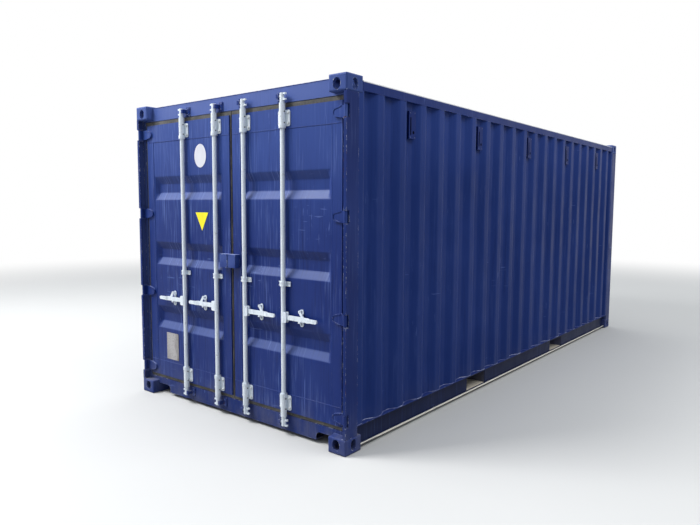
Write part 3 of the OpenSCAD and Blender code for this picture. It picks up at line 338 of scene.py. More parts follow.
@dataclass(frozen=True)
class Paint:
    """Navy container paint with drips, scuffs, dust, chips and rust, and painted light where asked: sky highlights,
    highlight bands and fill light.
    """

    name: str
    base: Colour = srgb(26, 47, 112)
    faded: Colour = srgb(44, 66, 134)
    drip_colour: Colour = srgb(92, 112, 172)
    wet_colour: Colour = srgb(17, 32, 84)
    # Dust colour; on the bottom rail and the underframe it is lightened to stand in for light as well.
    dust_colour: Colour = srgb(132, 130, 128)
    rust_colour: Colour = srgb(104, 62, 44)
    metal_colour: Colour = srgb(186, 192, 204)
    # Paler colour for the rubbed and highlighted bends and for the painted fill light in the post grooves.
    worn_colour: Colour = srgb(78, 94, 150)
    streak_stretch: Pair = (1.0, 1.0)
    fade: float = 0.5
    fade_scale: float = 1.1
    # Paint turns lighter towards the top by this share, between the two heights below.
    height_fade: float = 0.0
    fade_from: float = 0.9
    fade_to: float = 2.5
    drips: float = 0.35
    wet: float = 0.35
    wet_from: float = 1.3
    scuffs: float = 0.35
    dust: float = 0.25
    dust_top: float = 0.40
    flat_dust: float = 0.5
    flat_slope: Pair = (0.55, 0.95)
    flat_limit: float = 9.0
    cloud: Pair = (0.34, 0.70)
    chips: float = 0.5
    chip_width: float = 0.005
    rare: Pair = (0.42, 0.62)
    # Share of paler paint on convex bends: rubbed paint and a painted highlight where the bends catch the light.
    wear: float = 0.0
    ledge: float = 0.0
    ledge_from: float = 1.185
    ledge_end: float = 2.60
    # Painted highlight: height above which a pale band is painted along a part's top edge.
    crest: float = 0.0
    # Painted sky highlight: share of a pale sky colour on faces that point upwards.
    sky_fade: float = 0.0
    sky_slope: Pair = (0.15, 0.55)
    sky_colour: Colour = srgb(168, 182, 232)
    # Painted fill light: paler paint in the shaded grooves beside the door posts, within the spans below.
    recess: float = 0.0
    recess_inner: Pair = (1.160, 1.166)
    recess_outer: Pair = (1.2105, 1.2130)
    recess_end: Pair = (3.016, 3.020)
    roughness: float = 0.42
    dusty_roughness: float = 0.45
    gloss: float = 0.10

    def _weathered(self, g: ShaderGraph, height: Socket) -> Socket:
        """Paint with faded patches, wet streaks, pale drips and scuffs.

        Args:
            g: Graph of the material.
            height: Height above the ground.

        Returns:
            The colour socket.
        """
        patches = g.layer(self.fade_scale, shown=(0.38, 0.68), reach=(0.0, self.fade), detail=4)
        # Lighter paint towards the top.
        patches = g.math("ADD", patches, g.span(height, self.fade_from, self.fade_to, 0.0, self.height_fade))
        colour = g.blend(patches, self.base, self.faded)
        flow = (*self.streak_stretch, 0.030)
        wet = g.layer(80, shown=(0.52, 0.64), reach=(0.0, self.wet), stretch=flow, shift=27.0)
        wet = g.math("MULTIPLY", wet, g.layer(1.9, shown=(0.36, 0.60), reach=(0.25, 1.0), detail=2, shift=51.0))
        wet = g.math("MULTIPLY", wet, g.span(height, self.wet_from, self.fade_to, 1.0, 0.45))
        colour = g.blend(wet, colour, self.wet_colour)
        flow = (*self.streak_stretch, 0.035)
        fine = g.layer(95, shown=(0.52, 0.70), stretch=flow, shift=3.1)
        where = g.layer(2.3, shown=(0.38, 0.62), stretch=(1, 1, 0.55), shift=9.7)
        drip = g.math("MULTIPLY", g.math("MULTIPLY", fine, where), self.drips)
        colour = g.blend(drip, colour, self.drip_colour)
        upright = g.layer(60, shown=(0.66, 0.70), stretch=(1, 1, 0.10), detail=2, shift=21.0)
        level = g.layer(46, shown=(0.68, 0.71), stretch=(0.10, 0.10, 1), detail=2, shift=33.0)
        where = g.layer(1.7, shown=(0.54, 0.66), shift=41.0)
        scuff = g.math("MULTIPLY", g.math("MAXIMUM", upright, level), where)
        return g.blend(g.math("MULTIPLY", scuff, self.scuffs), colour, self.drip_colour)

    def _soil(self, g: ShaderGraph, height: Socket) -> Socket:
        """Dust low on the walls and on flat tops, and pale dust on the ledge of the bottom rail, brightened into a
        painted highlight.

        Args:
            g: Graph of the material.
            height: Height above the ground.

        Returns:
            The mask socket.
        """
        low = g.span(height, 0.02, self.dust_top, self.dust, 0.0)
        cloud = g.layer(5.5, shown=self.cloud, stretch=(1, 1, 0.6), detail=5, rough=0.62, shift=5.0)
        flat = g.span(g.axis(g.normal, "Z"), *self.flat_slope, 0.0, self.flat_dust)
        flat = g.math("MULTIPLY", flat, g.span(height, self.flat_limit, self.flat_limit + 0.02, 1.0, 0.0))
        dust_and_light = g.math("MULTIPLY", g.math("MAXIMUM", low, flat), cloud)
        # Ledge of the bottom rail: pale dust brightened into a painted highlight, kept to the flange's outer part; the
        # inner part and the web keep the dark paint as painted shade.
        if self.ledge:
            patchy = g.layer(2.1, shown=(0.34, 0.42), reach=(0.35, 1.0), detail=4, rough=0.7, shift=61.0)
            ledge = g.math("MULTIPLY", g.span(height, self.ledge, self.ledge + 0.006, 1.0, 0.0), patchy)
            ends = g.span(g.distance_along("X"), self.ledge_end, self.ledge_end + 0.08, 1.0, 0.25)
            strip = g.span(g.distance_along("Y"), self.ledge_from - 0.001, self.ledge_from + 0.001)
            dust_and_light = g.math("MAXIMUM", dust_and_light, g.math("MULTIPLY", ledge, ends))
            dust_and_light = g.math("MULTIPLY", dust_and_light, strip)
        return dust_and_light

    def _worn(self, g: ShaderGraph, height: Socket, colour: Socket) -> Socket:
        """Adds painted light: a painted sky highlight on upward slopes, a painted highlight band along top edges and
        painted fill light in the shaded grooves of the posts.

        Args:
            g: Graph of the material.
            height: Height above the ground.
            colour: Colour so far.

        Returns:
            The colour socket.
        """
        # Painted sky highlight on faces that point upwards.
        if self.sky_fade:
            slope = g.span(g.axis(g.normal, "Z"), *self.sky_slope, 0.0, self.sky_fade)
            colour = g.blend(slope, colour, self.sky_colour)
        # Painted fill light in the shaded grooves between the posts and the leaves.
        if self.recess:
            across = g.distance_along("Y")
            fill_light = g.span(across, *self.recess_outer, self.recess, 0.0)
            fill_light = g.math("MULTIPLY", fill_light, g.span(across, *self.recess_inner))
            fill_light = g.math("MULTIPLY", fill_light, g.span(g.distance_along("X"), *self.recess_end, 1.0, 0.0))
            colour = g.blend(fill_light, colour, self.worn_colour)
        # Painted highlight band along the top edge.
        if self.crest:
            crest = g.span(height, self.crest, self.crest + 0.003, 0.0, 0.8)
            colour = g.blend(crest, colour, self.sky_colour)
        return colour

    def _chipped(self, g: ShaderGraph, colour: Socket) -> Socket:
        """Adds paler convex bends, partly rubbed paint and partly a painted highlight, and chips of bare or rusty
        steel along the edges.

        Args:
            g: Graph of the material.
            colour: Colour so far.

        Returns:
            The colour socket.
        """
        broken = g.layer(34, shown=(0.50, 0.60), detail=5, rough=0.7, shift=13.0)
        rare = g.layer(3.0, shown=self.rare, detail=2, shift=17.0)
        chip = g.math("MULTIPLY", g.math("MULTIPLY", g.edges(self.chip_width), broken), rare)
        rust = g.layer(6, shown=(0.50, 0.62), detail=4, shift=2.0)
        bare = g.blend(rust, self.metal_colour, self.rust_colour)
        # Paler convex bends: rubbed paint and a painted highlight.
        if self.wear:
            where = g.layer(8, shown=(0.3, 0.7), reach=(0.4, 1.0), stretch=(1, 1, 0.3))
            rubbed_and_lit = g.math("MULTIPLY", g.attribute("bend"), where)
            colour = g.blend(g.math("MULTIPLY", rubbed_and_lit, self.wear), colour, self.worn_colour)
        return g.blend(g.math("MULTIPLY", chip, self.chips), colour, bare)

    def build(self) -> bpy.types.Material:
        """Makes the material from its layers.

        Returns:
            The new material.
        """
        g = ShaderGraph(self.name)
        height = g.axis(g.coords, "Z")
        dust_and_light = self._soil(g, height)
        colour = g.blend(dust_and_light, self._weathered(g, height), self.dust_colour)
        colour = self._worn(g, height, colour)
        g.feed("Base Color", self._chipped(g, colour))
        rough = g.layer(4.0, shown=(0.3, 0.7), reach=(-0.05, 0.07), detail=4, shift=7.0)
        rough = g.math("ADD", rough, self.roughness)
        g.feed("Roughness", g.math("ADD", rough, g.math("MULTIPLY", dust_and_light, self.dusty_roughness)))
        g.set(Specular_IOR_Level=self.gloss)
        skin = g.math("ADD", g.noise(160, detail=2), g.noise(9, detail=3))
        g.bump(skin, distance=0.0006, strength=0.35)
        return g.material


@dataclass(frozen=True)
class Zinc:
    """Hot dipped zinc: pale, slightly blue, with spangle and dull streaks."""

    name: str
    base: Colour = srgb(228, 237, 246)
    dull: Colour = srgb(184, 196, 212)
    stain: Colour = srgb(130, 122, 116)
    metallic: float = 0.10
    roughness: float = 0.42
    stains: float = 0.5

    def build(self) -> bpy.types.Material:
        """Makes the material from its layers.

        Returns:
            The new material.
        """
        g = ShaderGraph(self.name)
        spangle = g.cells(130)
        colour = g.blend(g.span(spangle, 0.2, 0.9, 0.0, 0.22), self.base, self.dull)
        streak = g.layer(40, shown=(0.48, 0.74), reach=(0.0, 0.6), stretch=(1, 1, 0.08))
        colour = g.blend(streak, colour, self.dull)
        spot = g.layer(26, shown=(0.60, 0.72), reach=(0.0, self.stains), detail=5, rough=0.7, shift=6.0)
        g.feed("Base Color", g.blend(spot, colour, self.stain))
        g.feed("Roughness", g.span(spangle, 0.0, 1.0, self.roughness - 0.06, self.roughness + 0.12))
        g.set(Metallic=self.metallic, Specular_IOR_Level=0.5)
        g.bump(g.noise(210, detail=3), distance=0.0004, strength=0.25)
        return g.material


@dataclass(frozen=True)
class Rubber:
    """Weathered gasket rubber, dark grey with pale dust."""

    name: str
    base: Colour = srgb(64, 64, 64)
    pale: Colour = srgb(122, 119, 113)

    def build(self) -> bpy.types.Material:
        """Makes the material from its layers.

        Returns:
            The new material.
        """
        g = ShaderGraph(self.name)
        cloud = g.layer(7, shown=(0.35, 0.75), reach=(0.0, 0.6), detail=5, rough=0.65)
        fine = g.layer(120, shown=(0.4, 0.8), reach=(0.0, 0.4), stretch=(1, 1, 0.3))
        g.feed("Base Color", g.blend(g.math("MAXIMUM", cloud, fine), self.base, self.pale))
        g.feed("Roughness", g.layer(15, shown=(0.3, 0.7), reach=(0.62, 0.80)))
        g.set(Specular_IOR_Level=0.3)
        g.bump(g.noise(300, detail=3), distance=0.0004, strength=0.5)
        return g.material


@dataclass(frozen=True)
class Plywood:
    """Keruing plywood floor: red brown veneer with grain along the length."""

    name: str
    base: Colour = srgb(122, 84, 58)
    dark: Colour = srgb(74, 48, 34)
    pale: Colour = srgb(160, 120, 86)

    def build(self) -> bpy.types.Material:
        """Makes the material from its layers.

        Returns:
            The new material.
        """
        g = ShaderGraph(self.name)
        grain = g.noise(70, stretch=(0.03, 1, 1), detail=5, rough=0.65)
        colour = g.blend(g.span(grain, 0.35, 0.70), self.base, self.dark)
        sheet = g.layer(0.8, shown=(0.40, 0.60), reach=(0.0, 0.5), stretch=(1, 1, 0.2), detail=2, shift=4.0)
        g.feed("Base Color", g.blend(sheet, colour, self.pale))
        g.feed("Roughness", g.span(grain, 0.3, 0.7, 0.50, 0.68))
        g.bump(grain, distance=0.0008, strength=0.4)
        return g.material


@dataclass(frozen=True)
class Steel:
    """Plain steel of bolts, rivets and screws, with a touch of rust."""

    name: str
    base: Colour = srgb(128, 130, 136)
    rust: Colour = srgb(98, 62, 44)
    rusty: float = 0.5
    metallic: float = 0.7

    def build(self) -> bpy.types.Material:
        """Makes the material from its layers.

        Returns:
            The new material.
        """
        g = ShaderGraph(self.name)
        spot = g.layer(85, shown=(0.50, 0.68), reach=(0.0, self.rusty), detail=5, rough=0.7)
        g.feed("Base Color", g.blend(spot, self.base, self.rust))
        g.feed("Roughness", g.span(spot, 0.0, 1.0, 0.38, 0.72))
        g.set(Metallic=self.metallic)
        g.bump(g.noise(400, detail=2), distance=0.0002, strength=0.4)
        return g.material


@dataclass(frozen=True)
class Coating:
    """Plain sheet or film with speckle and dirt, for plates and patches."""

    name: str
    base: Colour
    dirt: Colour = srgb(96, 94, 90)
    speckle: float = 0.35
    roughness: float = 0.45
    metallic: float = 0.0
    gloss: float = 0.5

    def build(self) -> bpy.types.Material:
        """Makes the material from its layers.

        Returns:
            The new material.
        """
        g = ShaderGraph(self.name)
        dots = g.layer(75, shown=(0.52, 0.70), reach=(0.0, self.speckle), detail=4, rough=0.7)
        veil = g.layer(9, shown=(0.4, 0.75), reach=(0.0, self.speckle), stretch=(1, 1, 0.4), detail=4, shift=8.0)
        g.feed("Base Color", g.blend(g.math("MAXIMUM", dots, veil), self.base, self.dirt))
        g.feed("Roughness", g.span(veil, 0.0, 1.0, self.roughness, self.roughness + 0.25))
        g.set(Metallic=self.metallic, Specular_IOR_Level=self.gloss)
        g.bump(g.noise(220, detail=2), distance=0.0002, strength=0.3)
        return g.material


class Finish(Enum):
    """Every finish of the container."""

    DOOR = Paint(
        "door_paint",
        base=srgb(20, 42, 108),
        faded=srgb(46, 70, 138),
        streak_stretch=(0.05, 1.0),
        drips=0.6,
        wet=0.6,
        fade=0.25,
        height_fade=0.95,
        fade_from=1.3,
        scuffs=0.5,
        # Painted sky highlight on the upward slopes of the pressed troughs.
        sky_fade=0.17,
        sky_colour=srgb(150, 172, 230),
        gloss=0.17,
    )
    HEADER = Paint("header_paint", faded=srgb(72, 92, 156), height_fade=1.0, fade_from=2.35, scuffs=0.5, gloss=0.2)
    # Lock box: paint lighter than the door's as painted light, a painted sky highlight on its top faces, and edge
    # chips that are partly real chips and partly painted bright rims.
    BOX = Paint(
        "lock_box_paint",
        base=srgb(30, 52, 120),
        faded=srgb(70, 90, 152),
        fade=0.8,
        fade_scale=4.0,
        scuffs=0.7,
        chips=1.0,
        chip_width=0.006,
        rare=(0.20, 0.45),
        sky_fade=0.6,
        gloss=0.17,
    )
    WALL = Paint(
        "wall_paint",
        base=srgb(29, 50, 111),
        height_fade=0.6,
        fade_from=1.8,
        streak_stretch=(1.0, 0.05),
        drips=0.12,
        wet=0.3,
        fade=0.35,
        scuffs=0.4,
        dust=0.10,
        chips=0.25,
        gloss=0.06,
        # Rubbed paint and a painted highlight on the convex bends.
        wear=0.14,
    )
    FRAME = Paint(
        "frame_paint",
        base=srgb(23, 42, 102),
        drips=0.2,
        fade=0.4,
        scuffs=0.8,
        chips=1.0,
        chip_width=0.007,
        rare=(0.36, 0.54),
        # Painted fill light in the shaded grooves of the door posts.
        recess=0.6,
    )
    # Bottom rail: dark paint as painted shade of the recessed web, a lighter band at its top as a painted highlight,
    # and near-white dust on the outer part of the lower flange, brightened into a painted highlight.
    RAIL = Paint(
        "rail_paint",
        base=srgb(20, 30, 64),
        faded=srgb(30, 40, 78),
        dust_colour=srgb(246, 242, 230),
        ledge=0.041,
        streak_stretch=(1.0, 0.05),
        drips=0.15,
        scuffs=0.3,
        dust=0.03,
        dust_top=0.3,
        flat_dust=1.0,
        flat_limit=0.10,
        cloud=(0.15, 0.40),
        # Painted highlight: lighter band at the top of the rail.
        crest=0.1805,
        sky_colour=srgb(38, 56, 120),
    )
    TOP_RAIL = Paint(
        "top_rail_paint",
        drips=0.2,
        fade=0.3,
        scuffs=0.5,
        chips=0.5,
        chip_width=0.006,
        rare=(0.40, 0.58),
        # Painted highlight: a near-white band along the rail's top edge.
        crest=2.5525,
        sky_colour=srgb(250, 252, 255),
    )
    VENT = Paint(
        "ventilator_paint",
        base=srgb(25, 44, 106),
        fade=0.15,
        drips=0.0,
        wet=0.1,
        scuffs=0.2,
        chips=0.15,
        gloss=0.06,
    )
    KEEPER = Paint("keeper_paint", scuffs=0.4, chips=1.0, chip_width=0.006, rare=(0.10, 0.45))
    ROOF = Paint(
        "roof_paint",
        faded=srgb(50, 70, 134),
        fade=0.7,
        drips=0.0,
        wet=0.0,
        flat_dust=0.32,
        cloud=(0.42, 0.85),
        chips=0.3,
        # Rubbed paint and a painted highlight on the convex bends.
        wear=0.3,
    )
    CASTING = Paint(
        "cast_corner_paint",
        faded=srgb(70, 90, 152),
        height_fade=0.6,
        fade_from=2.3,
        drips=0.2,
        fade=0.4,
        scuffs=0.8,
        chips=1.0,
        chip_width=0.009,
        rare=(0.18, 0.42),
        roughness=0.5,
    )
    # Underframe: pale dust on flat tops, lightened into painted light where the pockets are in shade.
    UNDER = Paint(
        "underframe_paint",
        base=srgb(32, 38, 66),
        dust_colour=srgb(216, 208, 192),
        dust=0.12,
        dust_top=0.6,
        flat_dust=1.0,
        cloud=(0.20, 0.48),
        roughness=0.6,
    )
    WELD = Paint("weld_paint", base=srgb(32, 52, 118), faded=srgb(60, 82, 148), fade=0.8, chips=0.2)
    # Pale patches: partly chalky paint and partly painted glints along the seams.
    SEAM = Paint(
        "chalky_seam_paint",
        base=srgb(52, 68, 136),
        faded=srgb(176, 184, 218),
        fade=1.0,
        fade_scale=7.0,
        chips=0.2,
    )
    ZINC = Zinc("dipped_zinc")
    GASKET = Rubber("gasket_rubber")
    FLOOR = Plywood("floor_plywood")
    BOLT = Steel("bolt_steel", base=srgb(206, 212, 214), rusty=0.12, metallic=0.3)
    PIN = Steel("pin_steel", base=srgb(66, 66, 72), rusty=0.4)
    RIVET = Coating("painted_rivet", srgb(56, 74, 136), dirt=srgb(96, 108, 156), speckle=0.3)
    SCREW = Steel("floor_screw_steel", rusty=0.7)
    PLATE = Coating("plate_aluminium", srgb(172, 170, 172), dirt=srgb(94, 90, 88), speckle=0.9, metallic=0.2)
    YELLOW = Coating("yellow_film", srgb(250, 236, 24), speckle=0.12)
    WHITE = Coating("white_film", srgb(218, 220, 230), speckle=0.15)
    # Painted shade for the slots and holes of the ventilators.
    HOLLOW = Coating("vent_shadow", srgb(10, 12, 22), dirt=srgb(26, 28, 38), roughness=0.8, gloss=0.0)

    @property
    def material(self) -> bpy.types.Material:
        """The built material, made on first use.

        Returns:
            The material of this finish.
        """
        if self.value.name not in bpy.data.materials:
            self.value.build()
        return bpy.data.materials[self.value.name]


# ---------------------------------------------------------------- piece helpers


def mesh_object(name: str, mesh: bpy.types.Mesh) -> bpy.types.Object:
    """Puts a mesh into the scene as an object at the origin.

    Args:
        name: Name of the object.
        mesh: Its mesh.

    Returns:
        The new object.
    """
    piece = bpy.data.objects.new(name, mesh)
    bpy.context.scene.collection.objects.link(piece)
    return piece


def dressed(name: str, mesh: bpy.types.Mesh, finish: Finish) -> bpy.types.Object:
    """Puts a mesh into the scene as a piece with one finish.

    Args:
        name: Name of the piece.
        mesh: Its mesh.
        finish: Finish of all its faces.

    Returns:
        The new object.
    """
    piece = mesh_object(name, mesh)
    piece.data.materials.append(finish.material)
    return piece


def settle(piece: bpy.types.Object, body: Body, slot: str, *nodes: str) -> None:
    """Lets a finished piece ride on its body and reports it.

    Args:
        piece: The finished object.
        body: Body that carries it.
        slot: Material slot of the record that it belongs to; not used.
        *nodes: CAD nodes that it stands for.
    """
    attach(piece, body.value)
    if nodes:
        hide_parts(*nodes)
    LOG.info("%s: %d faces on %s", piece.name, len(piece.data.polygons), body.value)


def identifier(tree: bpy.types.NodeTree, name: str) -> str:
    """Identifier of a named input of a node group.

    Args:
        tree: The node group.
        name: Name of the input.

    Returns:
        The identifier that a modifier knows the input by.
    """
    for item in tree.interface.items_tree:
        if item.item_type == "SOCKET" and item.in_out == "INPUT" and item.name == name:
            return item.identifier
    raise KeyError(name)


def grown(name: str, source: bpy.types.Mesh, tree: bpy.types.NodeTree, values: dict[str, Any]) -> bpy.types.Object:
    """Runs a geometry tree over a mesh once and keeps the plain result.

    Args:
        name: Name of the new object.
        source: Mesh with the guide points or lines.
        tree: Geometry node group.
        values: Inputs of the group by name.

    Returns:
        A new object with no modifier.
    """
    carrier = mesh_object(name + "_guide", source)
    modifier = carrier.modifiers.new("grow", "NODES")
    modifier.node_group = tree
    for key, value in values.items():
        modifier[identifier(tree, key)] = value
    depsgraph = bpy.context.evaluated_depsgraph_get()
    result = bpy.data.meshes.new_from_object(carrier.evaluated_get(depsgraph), depsgraph=depsgraph)
    result.name = name
    carrier.modifiers.remove(modifier)
    bpy.data.objects.remove(carrier)
    return mesh_object(name, result)


class GeometryGraph(NodeGraph):
    """Builder for one geometry node group."""

    def __init__(self, name: str, inputs: dict[str, tuple[str, Any]]) -> None:
        """Starts a group with a geometry input and output.

        Args:
            name: Name of the group.
            inputs: Socket type and default value of each further input, by name.
        """
        super().__init__(bpy.data.node_groups.new(name, "GeometryNodeTree"))
        face = self.tree.interface
        face.new_socket(name="Geometry", in_out="INPUT", socket_type="NodeSocketGeometry")
        for key, (kind, value) in inputs.items():
            socket = face.new_socket(name=key, in_out="INPUT", socket_type=kind)
            if value is not None:
                socket.default_value = value
        face.new_socket(name="Geometry", in_out="OUTPUT", socket_type="NodeSocketGeometry")
        self.entry = self.node("NodeGroupInput")

    def given(self, name: str) -> Socket:
        """A named input of the group."""
        return self.entry.outputs[name]

    def finish(self, geometry: Socket, material: Socket) -> bpy.types.NodeTree:
        """Realizes, sets the material and closes the group.

        Args:
            geometry: Instances and meshes of the group.
            material: Material for all of them.

        Returns:
            The finished group.
        """
        solid = self.node("GeometryNodeRealizeInstances", {0: geometry})
        dressed = self.node("GeometryNodeSetMaterial", {"Geometry": solid.outputs[0], "Material": material})
        self.node("NodeGroupOutput", {0: dressed.outputs[0]})
        return self.tree


# ---------------------------------------------------------------- pressed sheets


def trough(distance: float, floor: float, slope: float) -> float:
    """Share of the full depth at a distance from a trough's middle."""
    return min(1.0, max(0.0, (floor / 2 + slope - abs(distance)) / slope))


def softened(shape: Callable[[float], float], at: float, bend: float) -> float:
    """Averages a shape over a short span, which rounds its bends."""
    steps = (-0.5, -0.25, 0.0, 0.25, 0.5)
    return sum(shape(at + step * bend) for step in steps) / len(steps)


def bend_stops(edges: Sequence[float], bend: float) -> list[float]:
    """Grid stations around each bend of a profile, close enough to shade round."""
    return [edge + step * bend for edge in edges for step in (-1.5, -0.5, 0.0, 0.5, 1.5)]


def tidy_stops(stops: Sequence[float], low: float, high: float, gap: float) -> list[float]:
    """Sorts stations, drops those too close together and adds the two ends.

    Args:
        stops: Wanted stations in any order.
        low: First station.
        high: Last station.
        gap: Least distance between two of them.

    Returns:
        The stations in order.
    """
    kept = [low]
    for stop in sorted(stops):
        if kept[-1] + gap < stop < high - gap:
            kept.append(stop)
    return kept + [high]


def spread_stops(low: float, high: float, count: int) -> list[float]:
    """Evenly spaced stations between two ends."""
    return [low + (high - low) * i / count for i in range(count + 1)]


def nearest(at: float, pitch: float, half_count: int) -> int:
    """Number of the trough of a row that lies nearest to a place."""
    return max(-half_count, min(half_count, round(at / pitch)))


def row_bends(half_count: int, pitch: float, floor: float, slope: float) -> list[float]:
    """Places of all bends of a row of like troughs.

    Args:
        half_count: Troughs on each side of the middle one.
        pitch: Distance from one to the next.
        floor: Width of a trough's floor.
        slope: Width of each of its slopes.

    Returns:
        Four places for each trough.
    """
    half = floor / 2
    shifts = (-half - slope, -half, half, half + slope)
    return [i * pitch + shift for i in range(-half_count, half_count + 1) for shift in shifts]


@dataclass(frozen=True)
class DentField:
    """Gentle waves and a few knocks in a sheet, fading out at its edges."""

    seed: int
    low: Pair
    high: Pair
    knocks: int = 7
    widths: Pair = (0.10, 0.28)
    shares: Pair = (0.3, 1.0)
    deepest: float = 0.004
    wave: float = 0.0009
    wave_scale: float = 1.7
    margin: float = 0.22

    def spots(self) -> list[tuple[float, float, float, float]]:
        """Draws the knocks.

        Returns:
            Place along and across, radius and depth of each knock.
        """
        draw = Random(self.seed)
        return [
            (
                draw.uniform(self.low[0], self.high[0]),
                draw.uniform(self.low[1], self.high[1]),
                draw.uniform(*self.widths),
                draw.uniform(*self.shares) * self.deepest,
            )
            for _ in range(self.knocks)
        ]

    def sampler(self) -> Callable[[float, float], float]:
        """Draws the knocks once for all samples.

        Returns:
            Function that gives the inward shift at any place of the sheet.
        """
        spots = self.spots()

        def shift(along: float, across: float) -> float:
            """Inward shift in metres.

            Args:
                along: Place along the sheet.
                across: Place across it.

            Returns:
                The shift, zero at the sheet's edges.
            """
            room = min(along - self.low[0], self.high[0] - along, across - self.low[1], self.high[1] - across)
            fade = min(1.0, max(0.0, room / self.margin))
            where = Vector((along * self.wave_scale, across * self.wave_scale, self.seed))
            wave = self.wave * (1 + noise.noise(where))
            knock = sum(
                depth * math.exp(-((along - x) ** 2 + (across - y) ** 2) / radius**2)
                for x, y, radius, depth in spots
            )
            return fade * (wave + knock)

        return shift


@dataclass(frozen=True)
class PressedSheet:
    """Closed thin shell over a grid, its depth given by a function."""

    name: str
    along: list[float]
    across: list[float]
    depth: Callable[[float, float], float]
    place: Placer
    thickness: float = 0.002
    slope_step: float = 0.0008
    bend_step: float = 0.009
    bend_from: float = 0.10
    bend_span: float = 0.25
    sharp: float = math.radians(60)

    def _inner(self, u: float, v: float, d: float) -> Point:
        """Point of the rear face behind a point of the front face.

        Args:
            u: Place along.
            v: Place across.
            d: Depth of the front face there.

        Returns:
            The point, one thickness away along the front's normal.
        """
        step = self.slope_step
        slope_u = (self.depth(u + step, v) - self.depth(u - step, v)) / (2 * step)
        slope_v = (self.depth(u, v + step) - self.depth(u, v - step)) / (2 * step)
        t = self.thickness / math.sqrt(1 + slope_u**2 + slope_v**2)
        return self.place(u - slope_u * t, v - slope_v * t, d + t)

    def _bend(self, u: float, v: float) -> float:
        """How sharply the front bows outwards at a point.

        Args:
            u: Place along.
            v: Place across.

        Returns:
            A share from 0 to 1.
        """
        step = self.bend_step
        middle = 2 * self.depth(u, v)
        curve_u = self.depth(u - step, v) + self.depth(u + step, v) - middle
        curve_v = self.depth(u, v - step) + self.depth(u, v + step) - middle
        return min(1.0, max(0.0, (max(curve_u, curve_v) / step - self.bend_from) / self.bend_span))

    def _faces(self) -> list[tuple[int, ...]]:
        """Faces of the front, the rear and the four rims.

        Returns:
            Point numbers of each face; the rear's points follow the front's.
        """
        wide, high = len(self.along), len(self.across)
        count = wide * high
        faces: list[tuple[int, ...]] = []
        for j in range(high - 1):
            for i in range(wide - 1):
                a = j * wide + i
                faces.append((a, a + 1, a + wide + 1, a + wide))
                faces.append((a + count, a + wide + count, a + wide + 1 + count, a + 1 + count))
        bottom = list(range(wide))
        top = [(high - 1) * wide + i for i in range(wide)]
        left = [j * wide for j in range(high)]
        right = [j * wide + wide - 1 for j in range(high)]
        for rim in (bottom, top, left, right):
            for a, b in zip(rim, rim[1:]):
                faces.append((a, b, b + count, a + count))
        return faces

    def mesh(self) -> bpy.types.Mesh:
        """Builds the shell with outward faces and sharp rims.

        Returns:
            The mesh, with the bend of each point as an attribute.
        """
        front, rear, worn = [], [], []
        for v in self.across:
            for u in self.along:
                d = self.depth(u, v)
                front.append(self.place(u, v, d))
                rear.append(self._inner(u, v, d))
                worn.append(self._bend(u, v))
        mesh = bpy.data.meshes.new(self.name)
        mesh.from_pydata(front + rear, [], self._faces())
        bend = mesh.attributes.new("bend", "FLOAT", "POINT")
        bend.data.foreach_set("value", worn + [0.0] * len(rear))
        shell = bmesh.new()
        shell.from_mesh(mesh)
        bmesh.ops.recalc_face_normals(shell, faces=shell.faces)
        for face in shell.faces:
            face.smooth = True
        for edge in shell.edges:
            if len(edge.link_faces) == 2 and edge.calc_face_angle(0.0) > self.sharp:
                edge.smooth = False
        shell.to_mesh(mesh)
        shell.free()
        return mesh


@dataclass
class SideWalls:
    """Both long corrugated walls."""

    pitch: float = 0.278
    floor: float = 0.070
    slope: float = 0.068
    short_slope: float = 0.018
    depth_full: float = 0.036
    half_count: int = 10
    bend: float = 0.011
    rows: int = 26
    gap: float = 0.002
    knocks: int = 12
    seeds: tuple[tuple[Side, int], ...] = ((Side.LEFT, 11), (Side.RIGHT, 4))

    def __post_init__(self) -> None:
        """Reads the wall's box from the frame."""
        self.low, self.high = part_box("side_wall_left")
        self.face = self.high.y

    def profile(self, x: float) -> float:
        """Depth of the undented wall at a place along it.

        Args:
            x: Place along the wall.

        Returns:
            The depth behind the outer face.
        """

        def raw(at: float) -> float:
            """Share of the depth on the sharp profile.

            Args:
                at: Place along the wall.

            Returns:
                The share, from 0 to 1.
            """
            index = nearest(at, self.pitch, self.half_count)
            offset = at - index * self.pitch
            outer = abs(index) == self.half_count and offset * index > 0
            return trough(offset, self.floor, self.short_slope if outer else self.slope)

        return self.depth_full * softened(raw, x, self.bend)

    def stations(self) -> list[float]:
        """Grid stations along the wall.

        Returns:
            The stations, close together at each bend.
        """
        edges = []
        for i in range(-self.half_count, self.half_count + 1):
            middle = i * self.pitch
            before = self.short_slope if i == -self.half_count else self.slope
            after = self.short_slope if i == self.half_count else self.slope
            half = self.floor / 2
            edges += [middle - half - before, middle - half, middle + half, middle + half + after]
        return tidy_stops(bend_stops(edges, self.bend), self.low.x, self.high.x, self.gap)

    def edge_path(self, side: Side, height: float, proud: float) -> list[Point]:
        """Line along the wall's outer face at one height."""
        return [(x, side.value * (self.face - self.profile(x) + proud), height) for x in self.stations()]

    def build(self) -> None:
        """Makes both walls."""
        low, high = (self.low.x, self.low.z), (self.high.x, self.high.z)
        for side, seed in self.seeds:
            dents = DentField(seed, low, high, knocks=self.knocks).sampler()
            sheet = PressedSheet(
                f"corrugated_wall_{side.word}",
                self.stations(),
                spread_stops(self.low.z, self.high.z, self.rows),
                lambda x, z, dents=dents: self.profile(x) + dents(x, z),
                lambda x, z, d, side=side: (x, side.value * (self.face - d), z),
            )
            piece = dressed(sheet.name, sheet.mesh(), Finish.WALL)
            settle(piece, Body.FRAME, "blue_paint", f"side_wall_{side.word}")


